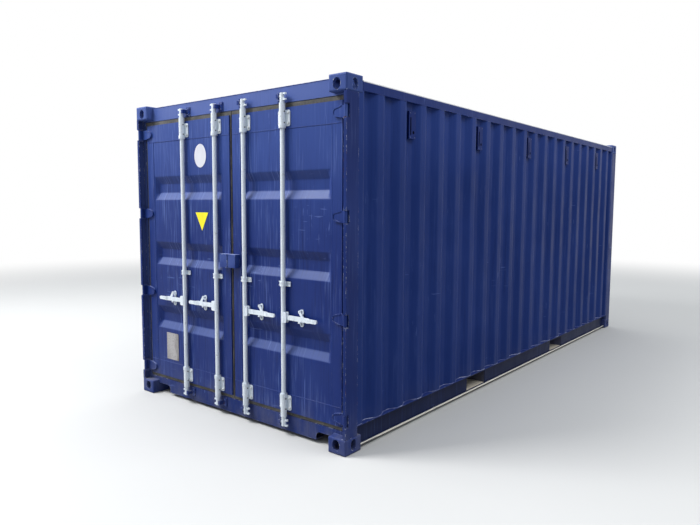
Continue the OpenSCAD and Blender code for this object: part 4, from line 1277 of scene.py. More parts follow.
@dataclass
class FrontWall:
    """Blind front wall with deep narrow troughs."""

    pitch: float = 0.250
    floor: float = 0.104
    slope: float = 0.018
    depth_full: float = 0.0456
    half_count: int = 3
    bend: float = 0.010
    rows: int = 20
    gap: float = 0.002
    knocks: int = 6
    seed: int = 23

    def profile(self, y: float) -> float:
        """Depth of the undented wall at a place across it.

        Args:
            y: Place across the wall.

        Returns:
            The depth behind the outer face.
        """

        def raw(at: float) -> float:
            """Share of the depth on the sharp profile."""
            index = nearest(at, self.pitch, self.half_count)
            return trough(at - index * self.pitch, self.floor, self.slope)

        return self.depth_full * softened(raw, y, self.bend)

    def build(self) -> None:
        """Makes the wall."""
        low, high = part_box("front_wall")
        face = high.x
        edges = row_bends(self.half_count, self.pitch, self.floor, self.slope)
        dents = DentField(self.seed, (low.y, low.z), (high.y, high.z), knocks=self.knocks).sampler()
        sheet = PressedSheet(
            "corrugated_front",
            tidy_stops(bend_stops(edges, self.bend), low.y, high.y, self.gap),
            spread_stops(low.z, high.z, self.rows),
            lambda y, z: self.profile(y) + dents(y, z),
            lambda y, z, d: (face - d, y, z),
        )
        piece = dressed(sheet.name, sheet.mesh(), Finish.WALL)
        settle(piece, Body.FRAME, "blue_paint", "front_wall")


@dataclass
class Roof:
    """Roof sheet with raised ridges that slope down at both ends."""

    pitch: float = 0.209
    ridge_top: float = 0.091
    slope: float = 0.014
    end_slope: float = 0.060
    edge_margin: float = 0.070
    ridge: float = 0.020
    half_count: int = 13
    bend: float = 0.008
    columns: int = 10
    gap: float = 0.002
    knocks: int = 14
    deepest: float = 0.005
    wave: float = 0.0006
    seed: int = 31

    def build(self) -> None:
        """Makes the roof."""
        low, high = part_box("roof_panel")
        margin = high.z - self.ridge
        cross_top = high.y - self.edge_margin - self.end_slope

        def along(x: float) -> float:
            """Ridge share along the roof."""
            middle = nearest(x, self.pitch, self.half_count) * self.pitch
            return softened(lambda at: trough(at - middle, self.ridge_top, self.slope), x, self.bend)

        def across(y: float) -> float:
            """Ridge share across the roof."""
            return softened(lambda at: trough(at, 2 * cross_top, self.end_slope), y, 2 * self.bend)

        dents = DentField(
            self.seed, (low.x, low.y), (high.x, high.y), self.knocks, deepest=self.deepest, wave=self.wave
        ).sampler()
        x_edges = row_bends(self.half_count, self.pitch, self.ridge_top, self.slope)
        y_edges = row_bends(0, self.pitch, 2 * cross_top, self.end_slope)
        y_stops = bend_stops(y_edges, self.bend) + spread_stops(-0.9 * cross_top, 0.9 * cross_top, self.columns)
        sheet = PressedSheet(
            "ridged_roof",
            tidy_stops(bend_stops(x_edges, self.bend), low.x, high.x, self.gap),
            tidy_stops(y_stops, low.y, high.y, self.gap),
            lambda x, y: dents(x, y) - self.ridge * min(along(x), across(y)),
            lambda x, y, d: (x, y, margin - d),
        )
        piece = dressed(sheet.name, sheet.mesh(), Finish.ROOF)
        settle(piece, Body.FRAME, "blue_paint", "roof_panel")


@dataclass
class DoorPanels:
    """Thin panels of both leaves, each with three pressed troughs."""

    mouth: float = 0.205
    floor: float = 0.075
    depth_full: float = 0.036
    end_run: float = 0.040
    edge_margin: float = 0.010
    pitch: float = 0.575
    half_count: int = 1
    bend: float = 0.0075
    rows: int = 14
    columns: int = 6
    column_margin: float = 0.1
    gap: float = 0.0015
    knocks: int = 5
    deepest: float = 0.0025
    seeds: tuple[tuple[Side, int], ...] = ((Side.LEFT, 5), (Side.RIGHT, 8))

    def sheet(self, side: Side, seed: int) -> PressedSheet:
        """Plans one panel.

        Args:
            side: Side of the leaf.
            seed: Seed of its dents.

        Returns:
            The sheet, ready to be built.
        """
        middle = CAD_BOX[1].z / 2
        slope = (self.mouth - self.floor) / 2
        low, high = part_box(f"{side.word}_door_panel")
        centre = (low.y + high.y) / 2
        half = (high.y - low.y) / 2 - self.edge_margin - self.end_run

        def raw(z: float) -> float:
            """Trough share on the sharp profile of the height."""
            index = nearest(z - middle, self.pitch, self.half_count)
            return trough(z - middle - index * self.pitch, self.floor, slope)

        def upright(z: float) -> float:
            """Trough share along the height."""
            return softened(raw, z, self.bend)

        def level(y: float) -> float:
            """Trough share across the leaf."""
            return softened(lambda at: trough(at - centre, 2 * half, self.end_run), y, self.bend)

        dents = DentField(
            seed, (low.z, low.y), (high.z, high.y), knocks=self.knocks, deepest=self.deepest
        ).sampler()
        z_edges = [
            middle + i * self.pitch + sign * reach
            for i in range(-self.half_count, self.half_count + 1)
            for sign in (-1, 1)
            for reach in (self.floor / 2, self.mouth / 2)
        ]
        y_edges = [centre + sign * reach for sign in (-1, 1) for reach in (half, half + self.end_run)]
        z_stops = bend_stops(z_edges, self.bend) + spread_stops(low.z, high.z, self.rows)
        inset = self.column_margin
        y_stops = bend_stops(y_edges, self.bend) + spread_stops(low.y + inset, high.y - inset, self.columns)
        return PressedSheet(
            f"pressed_panel_{side.word}",
            tidy_stops(z_stops, low.z, high.z, self.gap),
            tidy_stops(y_stops, low.y, high.y, self.gap),
            lambda z, y: self.depth_full * min(upright(z), level(y)) + dents(z, y),
            lambda z, y, d: (low.x + d, y, z),
        )

    def build(self) -> None:
        """Makes both panels."""
        for side, seed in self.seeds:
            sheet = self.sheet(side, seed)
            piece = dressed(sheet.name, sheet.mesh(), Finish.DOOR)
            settle(piece, side.body, "blue_paint", f"{side.word}_door_panel")


# ---------------------------------------------------------------- welds


def lines_mesh(name: str, lines: Sequence[Sequence[Point]]) -> bpy.types.Mesh:
    """Mesh of loose polylines.

    Args:
        name: Name of the mesh.
        lines: Points of each line.

    Returns:
        The mesh, with edges and no faces.
    """
    points: list[Point] = []
    edges: list[tuple[int, int]] = []
    for line in lines:
        start = len(points)
        points.extend(line)
        edges.extend((start + i, start + i + 1) for i in range(len(line) - 1))
    mesh = bpy.data.meshes.new(name)
    mesh.from_pydata(points, edges, [])
    return mesh


def bead_tree() -> bpy.types.NodeTree:
    """Geometry group that lays a rippled weld bead along every line.

    Returns:
        The node group.
    """
    g = GeometryGraph(
        "weld_bead",
        {
            "Radius": ("NodeSocketFloat", 0.004),
            "Step": ("NodeSocketFloat", 0.012),
            "Ripple": ("NodeSocketFloat", 0.4),
            "Wander": ("NodeSocketFloat", 0.0015),
            "Finish": ("NodeSocketMaterial", None),
        },
    )
    drift_scale, grain_scale, least_share = 34.0, 120.0, 0.8
    curve = g.node("GeometryNodeMeshToCurve", {0: g.given("Geometry")})
    even = g.node("GeometryNodeResampleCurve", {0: curve.outputs[0], "Length": g.given("Step")}, mode="LENGTH")
    drift = g.node("ShaderNodeTexNoise", {"Scale": drift_scale, "Detail": 1.0})
    middle = {0: drift.outputs["Color"], 1: (0.5, 0.5, 0.5)}
    centred = g.node("ShaderNodeVectorMath", middle, operation="SUBTRACT")
    wander = {0: centred.outputs[0], "Scale": g.given("Wander")}
    scaled = g.node("ShaderNodeVectorMath", wander, operation="SCALE")
    moved = g.node("GeometryNodeSetPosition", {0: even.outputs[0], "Offset": scaled.outputs[0]})
    grain = g.node("ShaderNodeTexNoise", {"Scale": grain_scale, "Detail": 0.0})
    swing = g.math("MULTIPLY", grain.outputs["Fac"], g.given("Ripple"), clamp=False)
    share = g.math("ADD", swing, least_share, clamp=False)
    size = g.math("MULTIPLY", share, g.given("Radius"), clamp=False)
    ring = g.node("GeometryNodeCurvePrimitiveCircle", {"Resolution": 6, "Radius": 1.0}, mode="RADIUS")
    path = {0: moved.outputs[0], 1: ring.outputs[0], "Scale": size, "Fill Caps": True}
    smooth = g.node("GeometryNodeSetShadeSmooth", {0: g.node("GeometryNodeCurveToMesh", path).outputs[0]})
    return g.finish(smooth.outputs[0], g.given("Finish"))


@dataclass
class Welds:
    """Weld beads of the frame and of both leaves."""

    walls: SideWalls
    radius: float = 0.0030
    foot_radius: float = 0.0035
    foot_ripple: float = 0.7
    foot_wander: float = 0.003
    foot_rise: float = 0.003
    foot_proud: float = -0.0024
    corner_depth: float = 0.0056
    corner_rise: float = 0.119
    corner_skin: float = 0.0044
    corner_run: float = 0.028
    post_skin: float = 0.0032
    end_skin: float = 0.0060
    wall_skin: float = 0.001
    wall_top: float = 0.002
    roof_rise: float = 0.001
    front_post: float = 0.153
    post_inner: float = 1.170
    rail_side: float = 1.171
    rail_foot: float = 0.033
    top_castings: float = 2.473
    cross_half: float = 1.055
    header_top: float = 2.575
    front_top: Pair = (0.005, 2.560)
    front_foot: Pair = (0.009, 0.180)
    panel_skin: float = 0.0005
    # Upper half of a hinge blade's outline: distance from the closing line and height.
    blade: tuple[Pair, ...] = ((1.138, 0.041), (1.091, 0.030), (1.070, 0.021), (1.061, 0.0))

    def straight_lines(self) -> list[list[Point]]:
        """Straight seams on the +Y half of the fixed frame.

        Returns:
            The points of each seam.
        """
        low, high = CAD_BOX
        rail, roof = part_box("top_rail_left"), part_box("roof_panel")
        post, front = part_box("door_post_left"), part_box("front_wall")
        skin, wall = post[1].y - self.post_skin, self.walls.face - self.wall_skin
        end, inner = high.x - self.end_skin, high.x - self.front_post
        header = from_end(HEADER_DEPTH)
        ledge = rail[1].z + self.roof_rise
        lines = [[(roof[0].x, roof[1].y, ledge), (roof[1].x, roof[1].y, ledge)]]
        for z in (post[0].z, post[1].z):
            lines.append([(post[0].x, skin, z), (post[1].x, skin, z)])
            lines.append([(end, skin, z), (inner, skin, z)])
            lines.append([(end, skin, z), (end, CASTING_SIDE, z)])
        for x in (post[1].x, inner):
            lines.append([(x, wall, self.walls.low.z), (x, wall, post[1].z)])
        for x in (low.x + CASTING_LENGTH, high.x - CASTING_LENGTH):
            lines.append([(x, rail[1].y, rail[0].z), (x, rail[1].y, rail[1].z)])
            lines.append([(x, self.rail_side, CASTING_HEIGHT), (x, self.rail_side, self.rail_foot)])
        lines.append([(front[1].x, front[1].y, front[0].z), (front[1].x, front[1].y, front[1].z)])
        for z in (CASTING_HEIGHT, self.top_castings):
            lines.append([(header, CASTING_SIDE, z), (header, self.post_inner, z)])
        return lines

    def frame_lines(self) -> list[list[Point]]:
        """Seams on the fixed frame.

        Returns:
            The points of each seam.
        """
        lines: list[list[Point]] = []
        for side in Side:
            lines.append(self.walls.edge_path(side, self.walls.high.z - self.wall_top, -self.wall_skin))
            lines += [[(x, side.value * y, z) for x, y, z in line] for line in self.straight_lines()]
        high = CAD_BOX[1]
        crossings = [(from_end(HEADER_DEPTH), self.header_top)]
        crossings += [(high.x - depth, z) for depth, z in (self.front_top, self.front_foot)]
        lines += [[(x, -self.cross_half, z), (x, self.cross_half, z)] for x, z in crossings]
        return lines

    def foot_lines(self) -> list[list[Point]]:
        """Seams at the foot of both walls and around the lower castings, pale in patches: partly chalky paint and
        partly painted glints.

        Returns:
            The points of each seam.
        """
        end = from_end(self.corner_depth)
        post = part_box("door_post_left")
        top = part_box("door_castings_bottom")[0].z + self.corner_rise
        skin = post[1].y - self.corner_skin
        height = self.walls.low.z + self.foot_rise
        lines = [self.walls.edge_path(side, height, self.foot_proud) for side in Side]
        corner = [(end, skin - self.corner_run), (end, skin), (post[1].x, skin)]
        lines += [[(x, side.value * y, top) for x, y in corner] for side in Side]
        return lines

    def leaf_lines(self, side: Side) -> list[list[Point]]:
        """Seams on one leaf: panel edges, member joints and hinge blades.

        Args:
            side: Side of the leaf.

        Returns:
            The points of each seam.
        """
        s = side.value
        leaf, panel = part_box("left_door_frame"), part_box("left_door_panel")
        face = leaf[0].x
        near, far = s * panel[0].y, s * panel[1].y
        low, high = panel[0].z, panel[1].z
        sunk = panel[0].x - self.panel_skin
        around = ((near, low), (far, low), (far, high), (near, high), (near, low))
        lines = [[(sunk, y, z) for y, z in around]]
        for z in (low, high):
            for a, b in ((leaf[0].y, panel[0].y), (panel[1].y, leaf[1].y)):
                lines.append([(face, s * a, z), (face, s * b, z)])
        outline = [*self.blade, *((y, -rise) for y, rise in reversed(self.blade[:-1]))]
        lines += [[(face, s * y, level + rise) for y, rise in outline] for level in HINGE_LEVELS]
        return lines

    def build(self) -> None:
        """Lays all beads, one piece for each body."""
        tree = bead_tree()
        jobs = [(Body.FRAME, self.frame_lines())] + [(side.body, self.leaf_lines(side)) for side in Side]
        for body, lines in jobs:
            name = f"weld_beads_{body.value}"
            values = {"Radius": self.radius, "Finish": Finish.WELD.material}
            piece = grown(name, lines_mesh(name, lines), tree, values)
            settle(piece, body, "blue_paint")
        values = {
            "Radius": self.foot_radius,
            "Ripple": self.foot_ripple,
            "Wander": self.foot_wander,
            "Finish": Finish.SEAM.material,
        }
        seam = grown("foot_seams", lines_mesh("foot_seams", self.foot_lines()), tree, values)
        settle(seam, Body.FRAME, "blue_paint")


# ---------------------------------------------------------------- fasteners


class Facing(Enum):
    """Direction that a fastener's head points to."""

    DOOR_END = (-1.0, 0.0, 0.0)
    LEFT = (0.0, 1.0, 0.0)
    RIGHT = (0.0, -1.0, 0.0)
    UP = (0.0, 0.0, 1.0)


Spot = tuple[Point, Facing]


@dataclass(frozen=True)
class Fastener:
    """Head and washer sizes of one kind of bolt, rivet or screw."""

    name: str
    finish: Finish
    sides: int
    width: float
    height: float
    washer: float
    washer_height: float

    def values(self) -> dict[str, Any]:
        """Inputs for the geometry group.

        Returns:
            Their values by name.
        """
        return {
            "Sides": self.sides,
            "Width": self.width,
            "Height": self.height,
            "Washer": self.washer,
            "Washer height": self.washer_height,
            "Finish": self.finish.material,
        }


def points_mesh(name: str, spots: Sequence[Spot]) -> bpy.types.Mesh:
    """Mesh of loose points, each with its direction.

    Args:
        name: Name of the mesh.
        spots: Place and direction of each point.

    Returns:
        The mesh, with no edges or faces.
    """
    mesh = bpy.data.meshes.new(name)
    mesh.from_pydata([place for place, _ in spots], [], [])
    facing = mesh.attributes.new("facing", "FLOAT_VECTOR", "POINT")
    for item, (_, direction) in zip(facing.data, spots):
        item.vector = direction.value
    return mesh


def fastener_tree() -> bpy.types.NodeTree:
    """Geometry group that sets a head with washer on every point.

    Returns:
        The node group.
    """
    g = GeometryGraph(
        "fastener_heads",
        {
            "Sides": ("NodeSocketInt", 6),
            "Width": ("NodeSocketFloat", 0.02),
            "Height": ("NodeSocketFloat", 0.008),
            "Washer": ("NodeSocketFloat", 0.028),
            "Washer height": ("NodeSocketFloat", 0.002),
            "Finish": ("NodeSocketMaterial", None),
        },
    )

    def part(name: str, share: float) -> Socket:
        """A share of a named input."""
        return g.math("MULTIPLY", g.given(name), share, clamp=False)

    def cone(sides: Any, width: str, top: float, height: Socket) -> Socket:
        """A cone frustum on the ground.

        Args:
            sides: Number of sides, or its socket.
            width: Input that gives the width at its foot.
            top: Radius of its top as a share of that width.
            height: Its height.

        Returns:
            The mesh socket.
        """
        radii = {"Radius Top": part(width, top), "Radius Bottom": part(width, 0.5)}
        return g.node("GeometryNodeMeshCone", {"Vertices": sides, **radii, "Depth": height}).outputs["Mesh"]

    def raised(mesh: Socket, height: Socket) -> Socket:
        """Moves a shape up."""
        up = g.node("ShaderNodeCombineXYZ", {"Z": height})
        return g.node("GeometryNodeTransform", {0: mesh, "Translation": up.outputs[0]}).outputs[0]

    washer_sides, washer_top, crown_top, shank_share = 14, 0.46, 0.34, 0.72
    seat = g.given("Washer height")
    washer = cone(washer_sides, "Washer", washer_top, seat)
    shank = cone(g.given("Sides"), "Width", 0.5, part("Height", shank_share))
    crown = cone(g.given("Sides"), "Width", crown_top, part("Height", 1 - shank_share))
    shoulder = g.math("ADD", seat, part("Height", shank_share), clamp=False)
    joined = g.node("GeometryNodeJoinGeometry")
    for shape in (washer, raised(shank, seat), raised(crown, shoulder)):
        g.tree.links.new(shape, joined.inputs[0])
    facing = g.node("GeometryNodeInputNamedAttribute", {"Name": "facing"}, data_type="FLOAT_VECTOR")
    turn = g.node("FunctionNodeAlignRotationToVector", {"Vector": facing.outputs["Attribute"]}, axis="Z")
    placed = g.node(
        "GeometryNodeInstanceOnPoints",
        {"Points": g.given("Geometry"), "Instance": joined.outputs[0], "Rotation": turn.outputs[0]},
    )
    return g.finish(placed.outputs[0], g.given("Finish"))


@dataclass
class Fasteners:
    """Bolts, rivets and screws, one joined piece for each body and kind."""

    bolt: Fastener = Fastener("guide_bolts", Finish.BOLT, 6, 0.017, 0.009, 0.024, 0.002)
    small: Fastener = Fastener("strap_bolts", Finish.BOLT, 6, 0.011, 0.005, 0.014, 0.001)
    rivet: Fastener = Fastener("rivets", Finish.RIVET, 10, 0.008, 0.003, 0.011, 0.001)
    screw: Fastener = Fastener("floor_screws", Finish.SCREW, 8, 0.010, 0.0012, 0.012, 0.0004)
    keeper: Fastener = Fastener("keeper_bolts", Finish.RIVET, 6, 0.013, 0.006, 0.016, 0.001)
    pin: Fastener = Fastener("guide_pins", Finish.PIN, 10, 0.009, 0.0035, 0.011, 0.001)
    keeper_depth: float = 0.058
    keeper_shift: float = -0.060
    keeper_levels: tuple[float, ...] = (2.4785, 2.5215, 0.0785, 0.1215)
    bolt_shifts: Pair = (-0.045, 0.045)
    bolt_levels: tuple[float, ...] = (2.386, 2.311, 0.214, 0.289)
    strap_places: tuple[Pair, ...] = ((-0.044, STRAP_LEVEL), (0.044, STRAP_LEVEL), (RETAINER_PLACE, 0.9275))
    pin_depth: float = 0.030
    pin_reach: float = 0.0225
    pin_levels: tuple[float, ...] = (2.394, 2.315, 0.285, 0.206)
    rivet_shifts: Pair = (-0.030, 0.030)
    rivet_insets: Pair = (0.012, 0.014)
    screw_sink: float = 0.0003
    screw_margin: float = 0.06
    screw_columns: int = 15
    first_row: float = 1.2545

    def at_bars(self, side: Side, depth: float, places: Sequence[Pair]) -> list[Spot]:
        """Heads that face the door end, at like places by both bars of one leaf.

        Args:
            side: Side of the leaf.
            depth: Depth of their seat behind the plane of the door end.
            places: Shift from the bar and height of each.

        Returns:
            Place and direction of each head.
        """
        return [
            ((from_end(depth), side.value * (bar + shift), z), Facing.DOOR_END)
            for bar in BAR_PLACES
            for shift, z in places
        ]

    def keeper_bolts(self) -> list[Spot]:
        """Two bolts on each cam keeper."""
        places = [(self.keeper_shift, z) for z in self.keeper_levels]
        return [spot for side in Side for spot in self.at_bars(side, self.keeper_depth, places)]

    def leaf_bolts(self, side: Side) -> list[Spot]:
        """Bolts of the end guides on one leaf."""
        places = [(shift, z) for shift in self.bolt_shifts for z in self.bolt_levels]
        return self.at_bars(side, GUIDE_DEPTH, places)

    def strap_bolts(self, side: Side) -> list[Spot]:
        """Small bolts of middle guides and handle retainers on one leaf."""
        return self.at_bars(side, GUIDE_DEPTH, self.strap_places)

    def guide_pins(self, side: Side) -> list[Spot]:
        """Dark pins on both flanks of the end guides of one leaf.

        Args:
            side: Side of the leaf.

        Returns:
            Place and direction of each head.
        """
        return [
            ((from_end(self.pin_depth), side.value * bar + way * self.pin_reach, z), facing)
            for bar in BAR_PLACES
            for z in self.pin_levels
            for facing, way in ((Facing.LEFT, 1), (Facing.RIGHT, -1))
        ]

    def vent_rivets(self) -> list[Spot]:
        """Rivets at the top and foot of every ventilator.

        Returns:
            Place and direction of each head.
        """
        low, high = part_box("ventilators")
        foot, top = self.rivet_insets
        return [
            ((i * VENT_PITCH + shift, side.value * high.y, z), facing)
            for side, facing in ((Side.LEFT, Facing.LEFT), (Side.RIGHT, Facing.RIGHT))
            for i in range(-VENTS_EACH_WAY, VENTS_EACH_WAY + 1)
            for shift in self.rivet_shifts
            for z in (high.z - top, low.z + foot)
        ]

    def floor_screws(self) -> list[Spot]:
        """Rows of screws over the cross members.

        Returns:
            Place and direction of each head.
        """
        low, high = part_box("floor_boards")
        rows = [i * CROSS_PITCH for i in range(-2, 3)]
        rows += [sign * (self.first_row + i * CROSS_PITCH) for sign in (-1, 1) for i in range(6)]
        columns = spread_stops(low.y + self.screw_margin, high.y - self.screw_margin, self.screw_columns)
        return [((x, y, high.z - self.screw_sink), Facing.UP) for x in rows for y in columns]

    def build(self) -> None:
        """Sets all fasteners."""
        tree = fastener_tree()
        jobs = [
            (self.keeper, Body.FRAME, self.keeper_bolts()),
            (self.rivet, Body.FRAME, self.vent_rivets()),
            (self.screw, Body.FRAME, self.floor_screws()),
        ]
        for kind, spots in ((self.bolt, self.leaf_bolts), (self.small, self.strap_bolts), (self.pin, self.guide_pins)):
            jobs += [(kind, side.body, spots(side)) for side in Side]
        for kind, body, places in jobs:
            name = f"{kind.name}_{body.value}"
            piece = grown(name, points_mesh(name, places), tree, kind.values())
            settle(piece, body, "zinc")


# ---------------------------------------------------------------- small fittings


def slab(bm: bmesh.types.BMesh, outline: Sequence[Pair], place: Placer, depth: float) -> None:
    """Adds a flat plate with the given outline.

    Args:
        bm: Mesh to add to.
        outline: Corner points, counted round.
        place: Turns an outline point and a depth into a place.
        depth: Thickness of the plate.
    """
    front = [bm.verts.new(place(a, b, 0.0)) for a, b in outline]
    rear = [bm.verts.new(place(a, b, depth)) for a, b in outline]
    bm.faces.new(front)
    bm.faces.new(list(reversed(rear)))
    for i in range(len(outline)):
        j = (i + 1) % len(outline)
        bm.faces.new((front[j], front[i], rear[i], rear[j]))


def rounded(low: Pair, high: Pair, radius: float, steps: int = 5) -> list[Pair]:
    """Outline of a rectangle with round corners.

    Args:
        low: Lower corner.
        high: Upper corner.
        radius: Radius of the corners.
        steps: Edges in each corner.

    Returns:
        The outline's points, counted round.
    """
    outline = []
    corners = ((high[0], high[1], 0), (low[0], high[1], 90), (low[0], low[1], 180), (high[0], low[1], 270))
    for x, y, start in corners:
        cx = x - math.copysign(radius, x - (low[0] + high[0]) / 2)
        cy = y - math.copysign(radius, y - (low[1] + high[1]) / 2)
        for i in range(steps + 1):
            turn = math.radians(start + 90 * i / steps)
            outline.append((cx + radius * math.cos(turn), cy + radius * math.sin(turn)))
    return outline


def oval(centre: Pair, radii: Pair, count: int) -> list[Pair]:
    """Outline of an oval.

    Args:
        centre: Its middle.
        radii: Half of its width and of its height.
        count: Number of points.

    Returns:
        The outline's points, counted round.
    """
    turns = (2 * math.pi * i / count for i in range(count))
    return [(centre[0] + radii[0] * math.cos(t), centre[1] + radii[1] * math.sin(t)) for t in turns]


def slot(centre: Pair, radius: float, straight: float, count: int = 28) -> list[Pair]:
    """Outline of an upright slot.

    Args:
        centre: Its middle.
        radius: Radius of both ends.
        straight: Half of the straight part.
        count: Number of points.

    Returns:
        The outline's points, counted round.
    """
    outline = []
    for i in range(count):
        turn = 2 * math.pi * (i + 0.5) / count
        rise = math.copysign(straight, math.sin(turn))
        outline.append((centre[0] + radius * math.cos(turn), centre[1] + radius * math.sin(turn) + rise))
    return outline


def close_loops(bm: bmesh.types.BMesh, loops: Sequence[Sequence[bmesh.types.BMVert]]) -> None:
    """Joins each loop of points with the next one, and the last with the first.

    Args:
        bm: Mesh to add to.
        loops: Loops with as many points each.
    """
    for first, second in zip(loops, [*loops[1:], loops[0]]):
        for i in range(len(first)):
            j = (i + 1) % len(first)
            bm.faces.new((first[i], first[j], second[j], second[i]))


def eye(bm: bmesh.types.BMesh, outer: Sequence[Pair], inner: Sequence[Pair], place: Placer, depth: float) -> None:
    """Adds a plate with one hole.

    Args:
        bm: Mesh to add to.
        outer: Outline of the plate.
        inner: Outline of the hole, with as many points.
        place: Turns an outline point and a depth into a place.
        depth: Thickness of the plate.
    """
    rims = ((outer, 0.0), (inner, 0.0), (inner, depth), (outer, depth))
    close_loops(bm, [[bm.verts.new(place(a, b, d)) for a, b in outline] for outline, d in rims])


def shaped(name: str, bm: bmesh.types.BMesh, finish: Finish) -> bpy.types.Object:
    """Closes a bmesh into a piece with outward faces.

    Args:
        name: Name of the piece.
        bm: Its faces; it is freed.
        finish: Finish of all of them.

    Returns:
        The new object.
    """
    bmesh.ops.recalc_face_normals(bm, faces=bm.faces)
    mesh = bpy.data.meshes.new(name)
    bm.to_mesh(mesh)
    bm.free()
    return dressed(name, mesh, finish)


@dataclass
class DoorMarks:
    """Blank data plate, plain yellow triangle and blank oval patch on the left leaf."""

    film: float = 0.0006
    triangle: tuple[Pair, ...] = ((0.294, 1.663), (0.459, 1.663), (0.3765, 1.512))
    patch_middle: Pair = (0.387, 2.130)
    patch_radii: Pair = (0.0755, 0.0965)
    patch_points: int = 48
    plate_low: Pair = (0.735, 0.345)
    plate_high: Pair = (0.905, 0.585)
    plate_corner: float = 0.010
    plate_height: float = 0.002
    rim: float = 0.006
    rim_corner: float = 0.0025
    rim_height: float = 0.001
    rivet_inset: float = 0.014
    rivet_radius: float = 0.004
    rivet_points: int = 10
    rivet_height: float = 0.0015

    def before_panel(self, height: float) -> Placer:
        """Places on the left leaf's panel, counted from a height in front of it."""
        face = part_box("left_door_panel")[0].x
        return lambda a, b, depth: (face - height + depth, a, b)

    def plate(self) -> bmesh.types.BMesh:
        """Blank plate with a raised rim and four rivets.

        Returns:
            Its faces.
        """
        bm = bmesh.new()
        low, high, rim, top = self.plate_low, self.plate_high, self.rim, self.plate_height
        slab(bm, rounded(low, high, self.plate_corner), self.before_panel(top), top)
        place = self.before_panel(top + self.rim_height)
        for box_low, box_high in (
            (low, (high[0], low[1] + rim)),
            ((low[0], high[1] - rim), high),
            ((low[0], low[1] + rim), (low[0] + rim, high[1] - rim)),
            ((high[0] - rim, low[1] + rim), (high[0], high[1] - rim)),
        ):
            slab(bm, rounded(box_low, box_high, self.rim_corner), place, self.rim_height)
        place = self.before_panel(top + self.rivet_height)
        inset, radii = self.rivet_inset, (self.rivet_radius, self.rivet_radius)
        for a in (low[0] + inset, high[0] - inset):
            for b in (low[1] + inset, high[1] - inset):
                slab(bm, oval((a, b), radii, self.rivet_points), place, self.rivet_height)
        return bm

    def build(self) -> None:
        """Makes the three marks."""
        patch = oval(self.patch_middle, self.patch_radii, self.patch_points)
        films = (("yellow_triangle", self.triangle, Finish.YELLOW), ("oval_patch", patch, Finish.WHITE))
        for name, outline, finish in films:
            bm = bmesh.new()
            slab(bm, outline, self.before_panel(self.film), self.film)
            settle(shaped(name, bm, finish), Body.LEFT, "zinc")
        settle(shaped("blank_plate", self.plate(), Finish.PLATE), Body.LEFT, "zinc")


@dataclass
class GuideCollars:
    """Rings at the inner ends of the bar guides."""

    levels: tuple[Pair, ...] = ((2.276, 2.302), (0.298, 0.324))
    profile: tuple[Pair, ...] = (
        (0.0, 0.0),
        (0.0, 0.92),
        (0.08, 1.0),
        (0.34, 1.0),
        (0.42, 0.90),
        (0.50, 0.90),
        (0.58, 1.0),
        (0.92, 1.0),
        (1.0, 0.90),
        (1.0, 0.0),
    )
    inner: float = 0.0225
    outer: float = 0.0268
    steps: int = 32

    def ring(self, bm: bmesh.types.BMesh, bar: float, low: float, high: float) -> None:
        """Adds one ring around a bar.

        Args:
            bm: Mesh to add to.
            bar: Y of the bar's axis.
            low: Lower end.
            high: Upper end.
        """
        rows = []
        for share, swell in self.profile:
            radius = self.inner + swell * (self.outer - self.inner)
            circle = oval((from_end(BAR_DEPTH), bar), (radius, radius), self.steps)
            rows.append([bm.verts.new((x, y, low + share * (high - low))) for x, y in circle])
        close_loops(bm, rows)

    def build(self) -> None:
        """Makes the collars of both leaves."""
        for side in Side:
            bm = bmesh.new()
            for bar in BAR_PLACES:
                for low, high in self.levels:
                    self.ring(bm, side.value * bar, low, high)
            settle(shaped(f"guide_collars_{side.body.value}", bm, Finish.ZINC), side.body, "zinc")


@dataclass(frozen=True)
class Block:
    """Flat block with round corners, its outline counted from the middle of a fitting."""

    low: Pair
    high: Pair
    corner: float
    front: float
    depth: float

    def add(self, bm: bmesh.types.BMesh, middle: Pair, end: float) -> None:
        """Adds the block to a mesh.

        Args:
            bm: Mesh to add to.
            middle: Y and Z of the fitting's middle.
            end: X that its depths count from.
        """
        outline = rounded(self.low, self.high, self.corner)
        slab(bm, outline, lambda a, b, d: (end + self.front + d, middle[0] + a, middle[1] + b), self.depth)


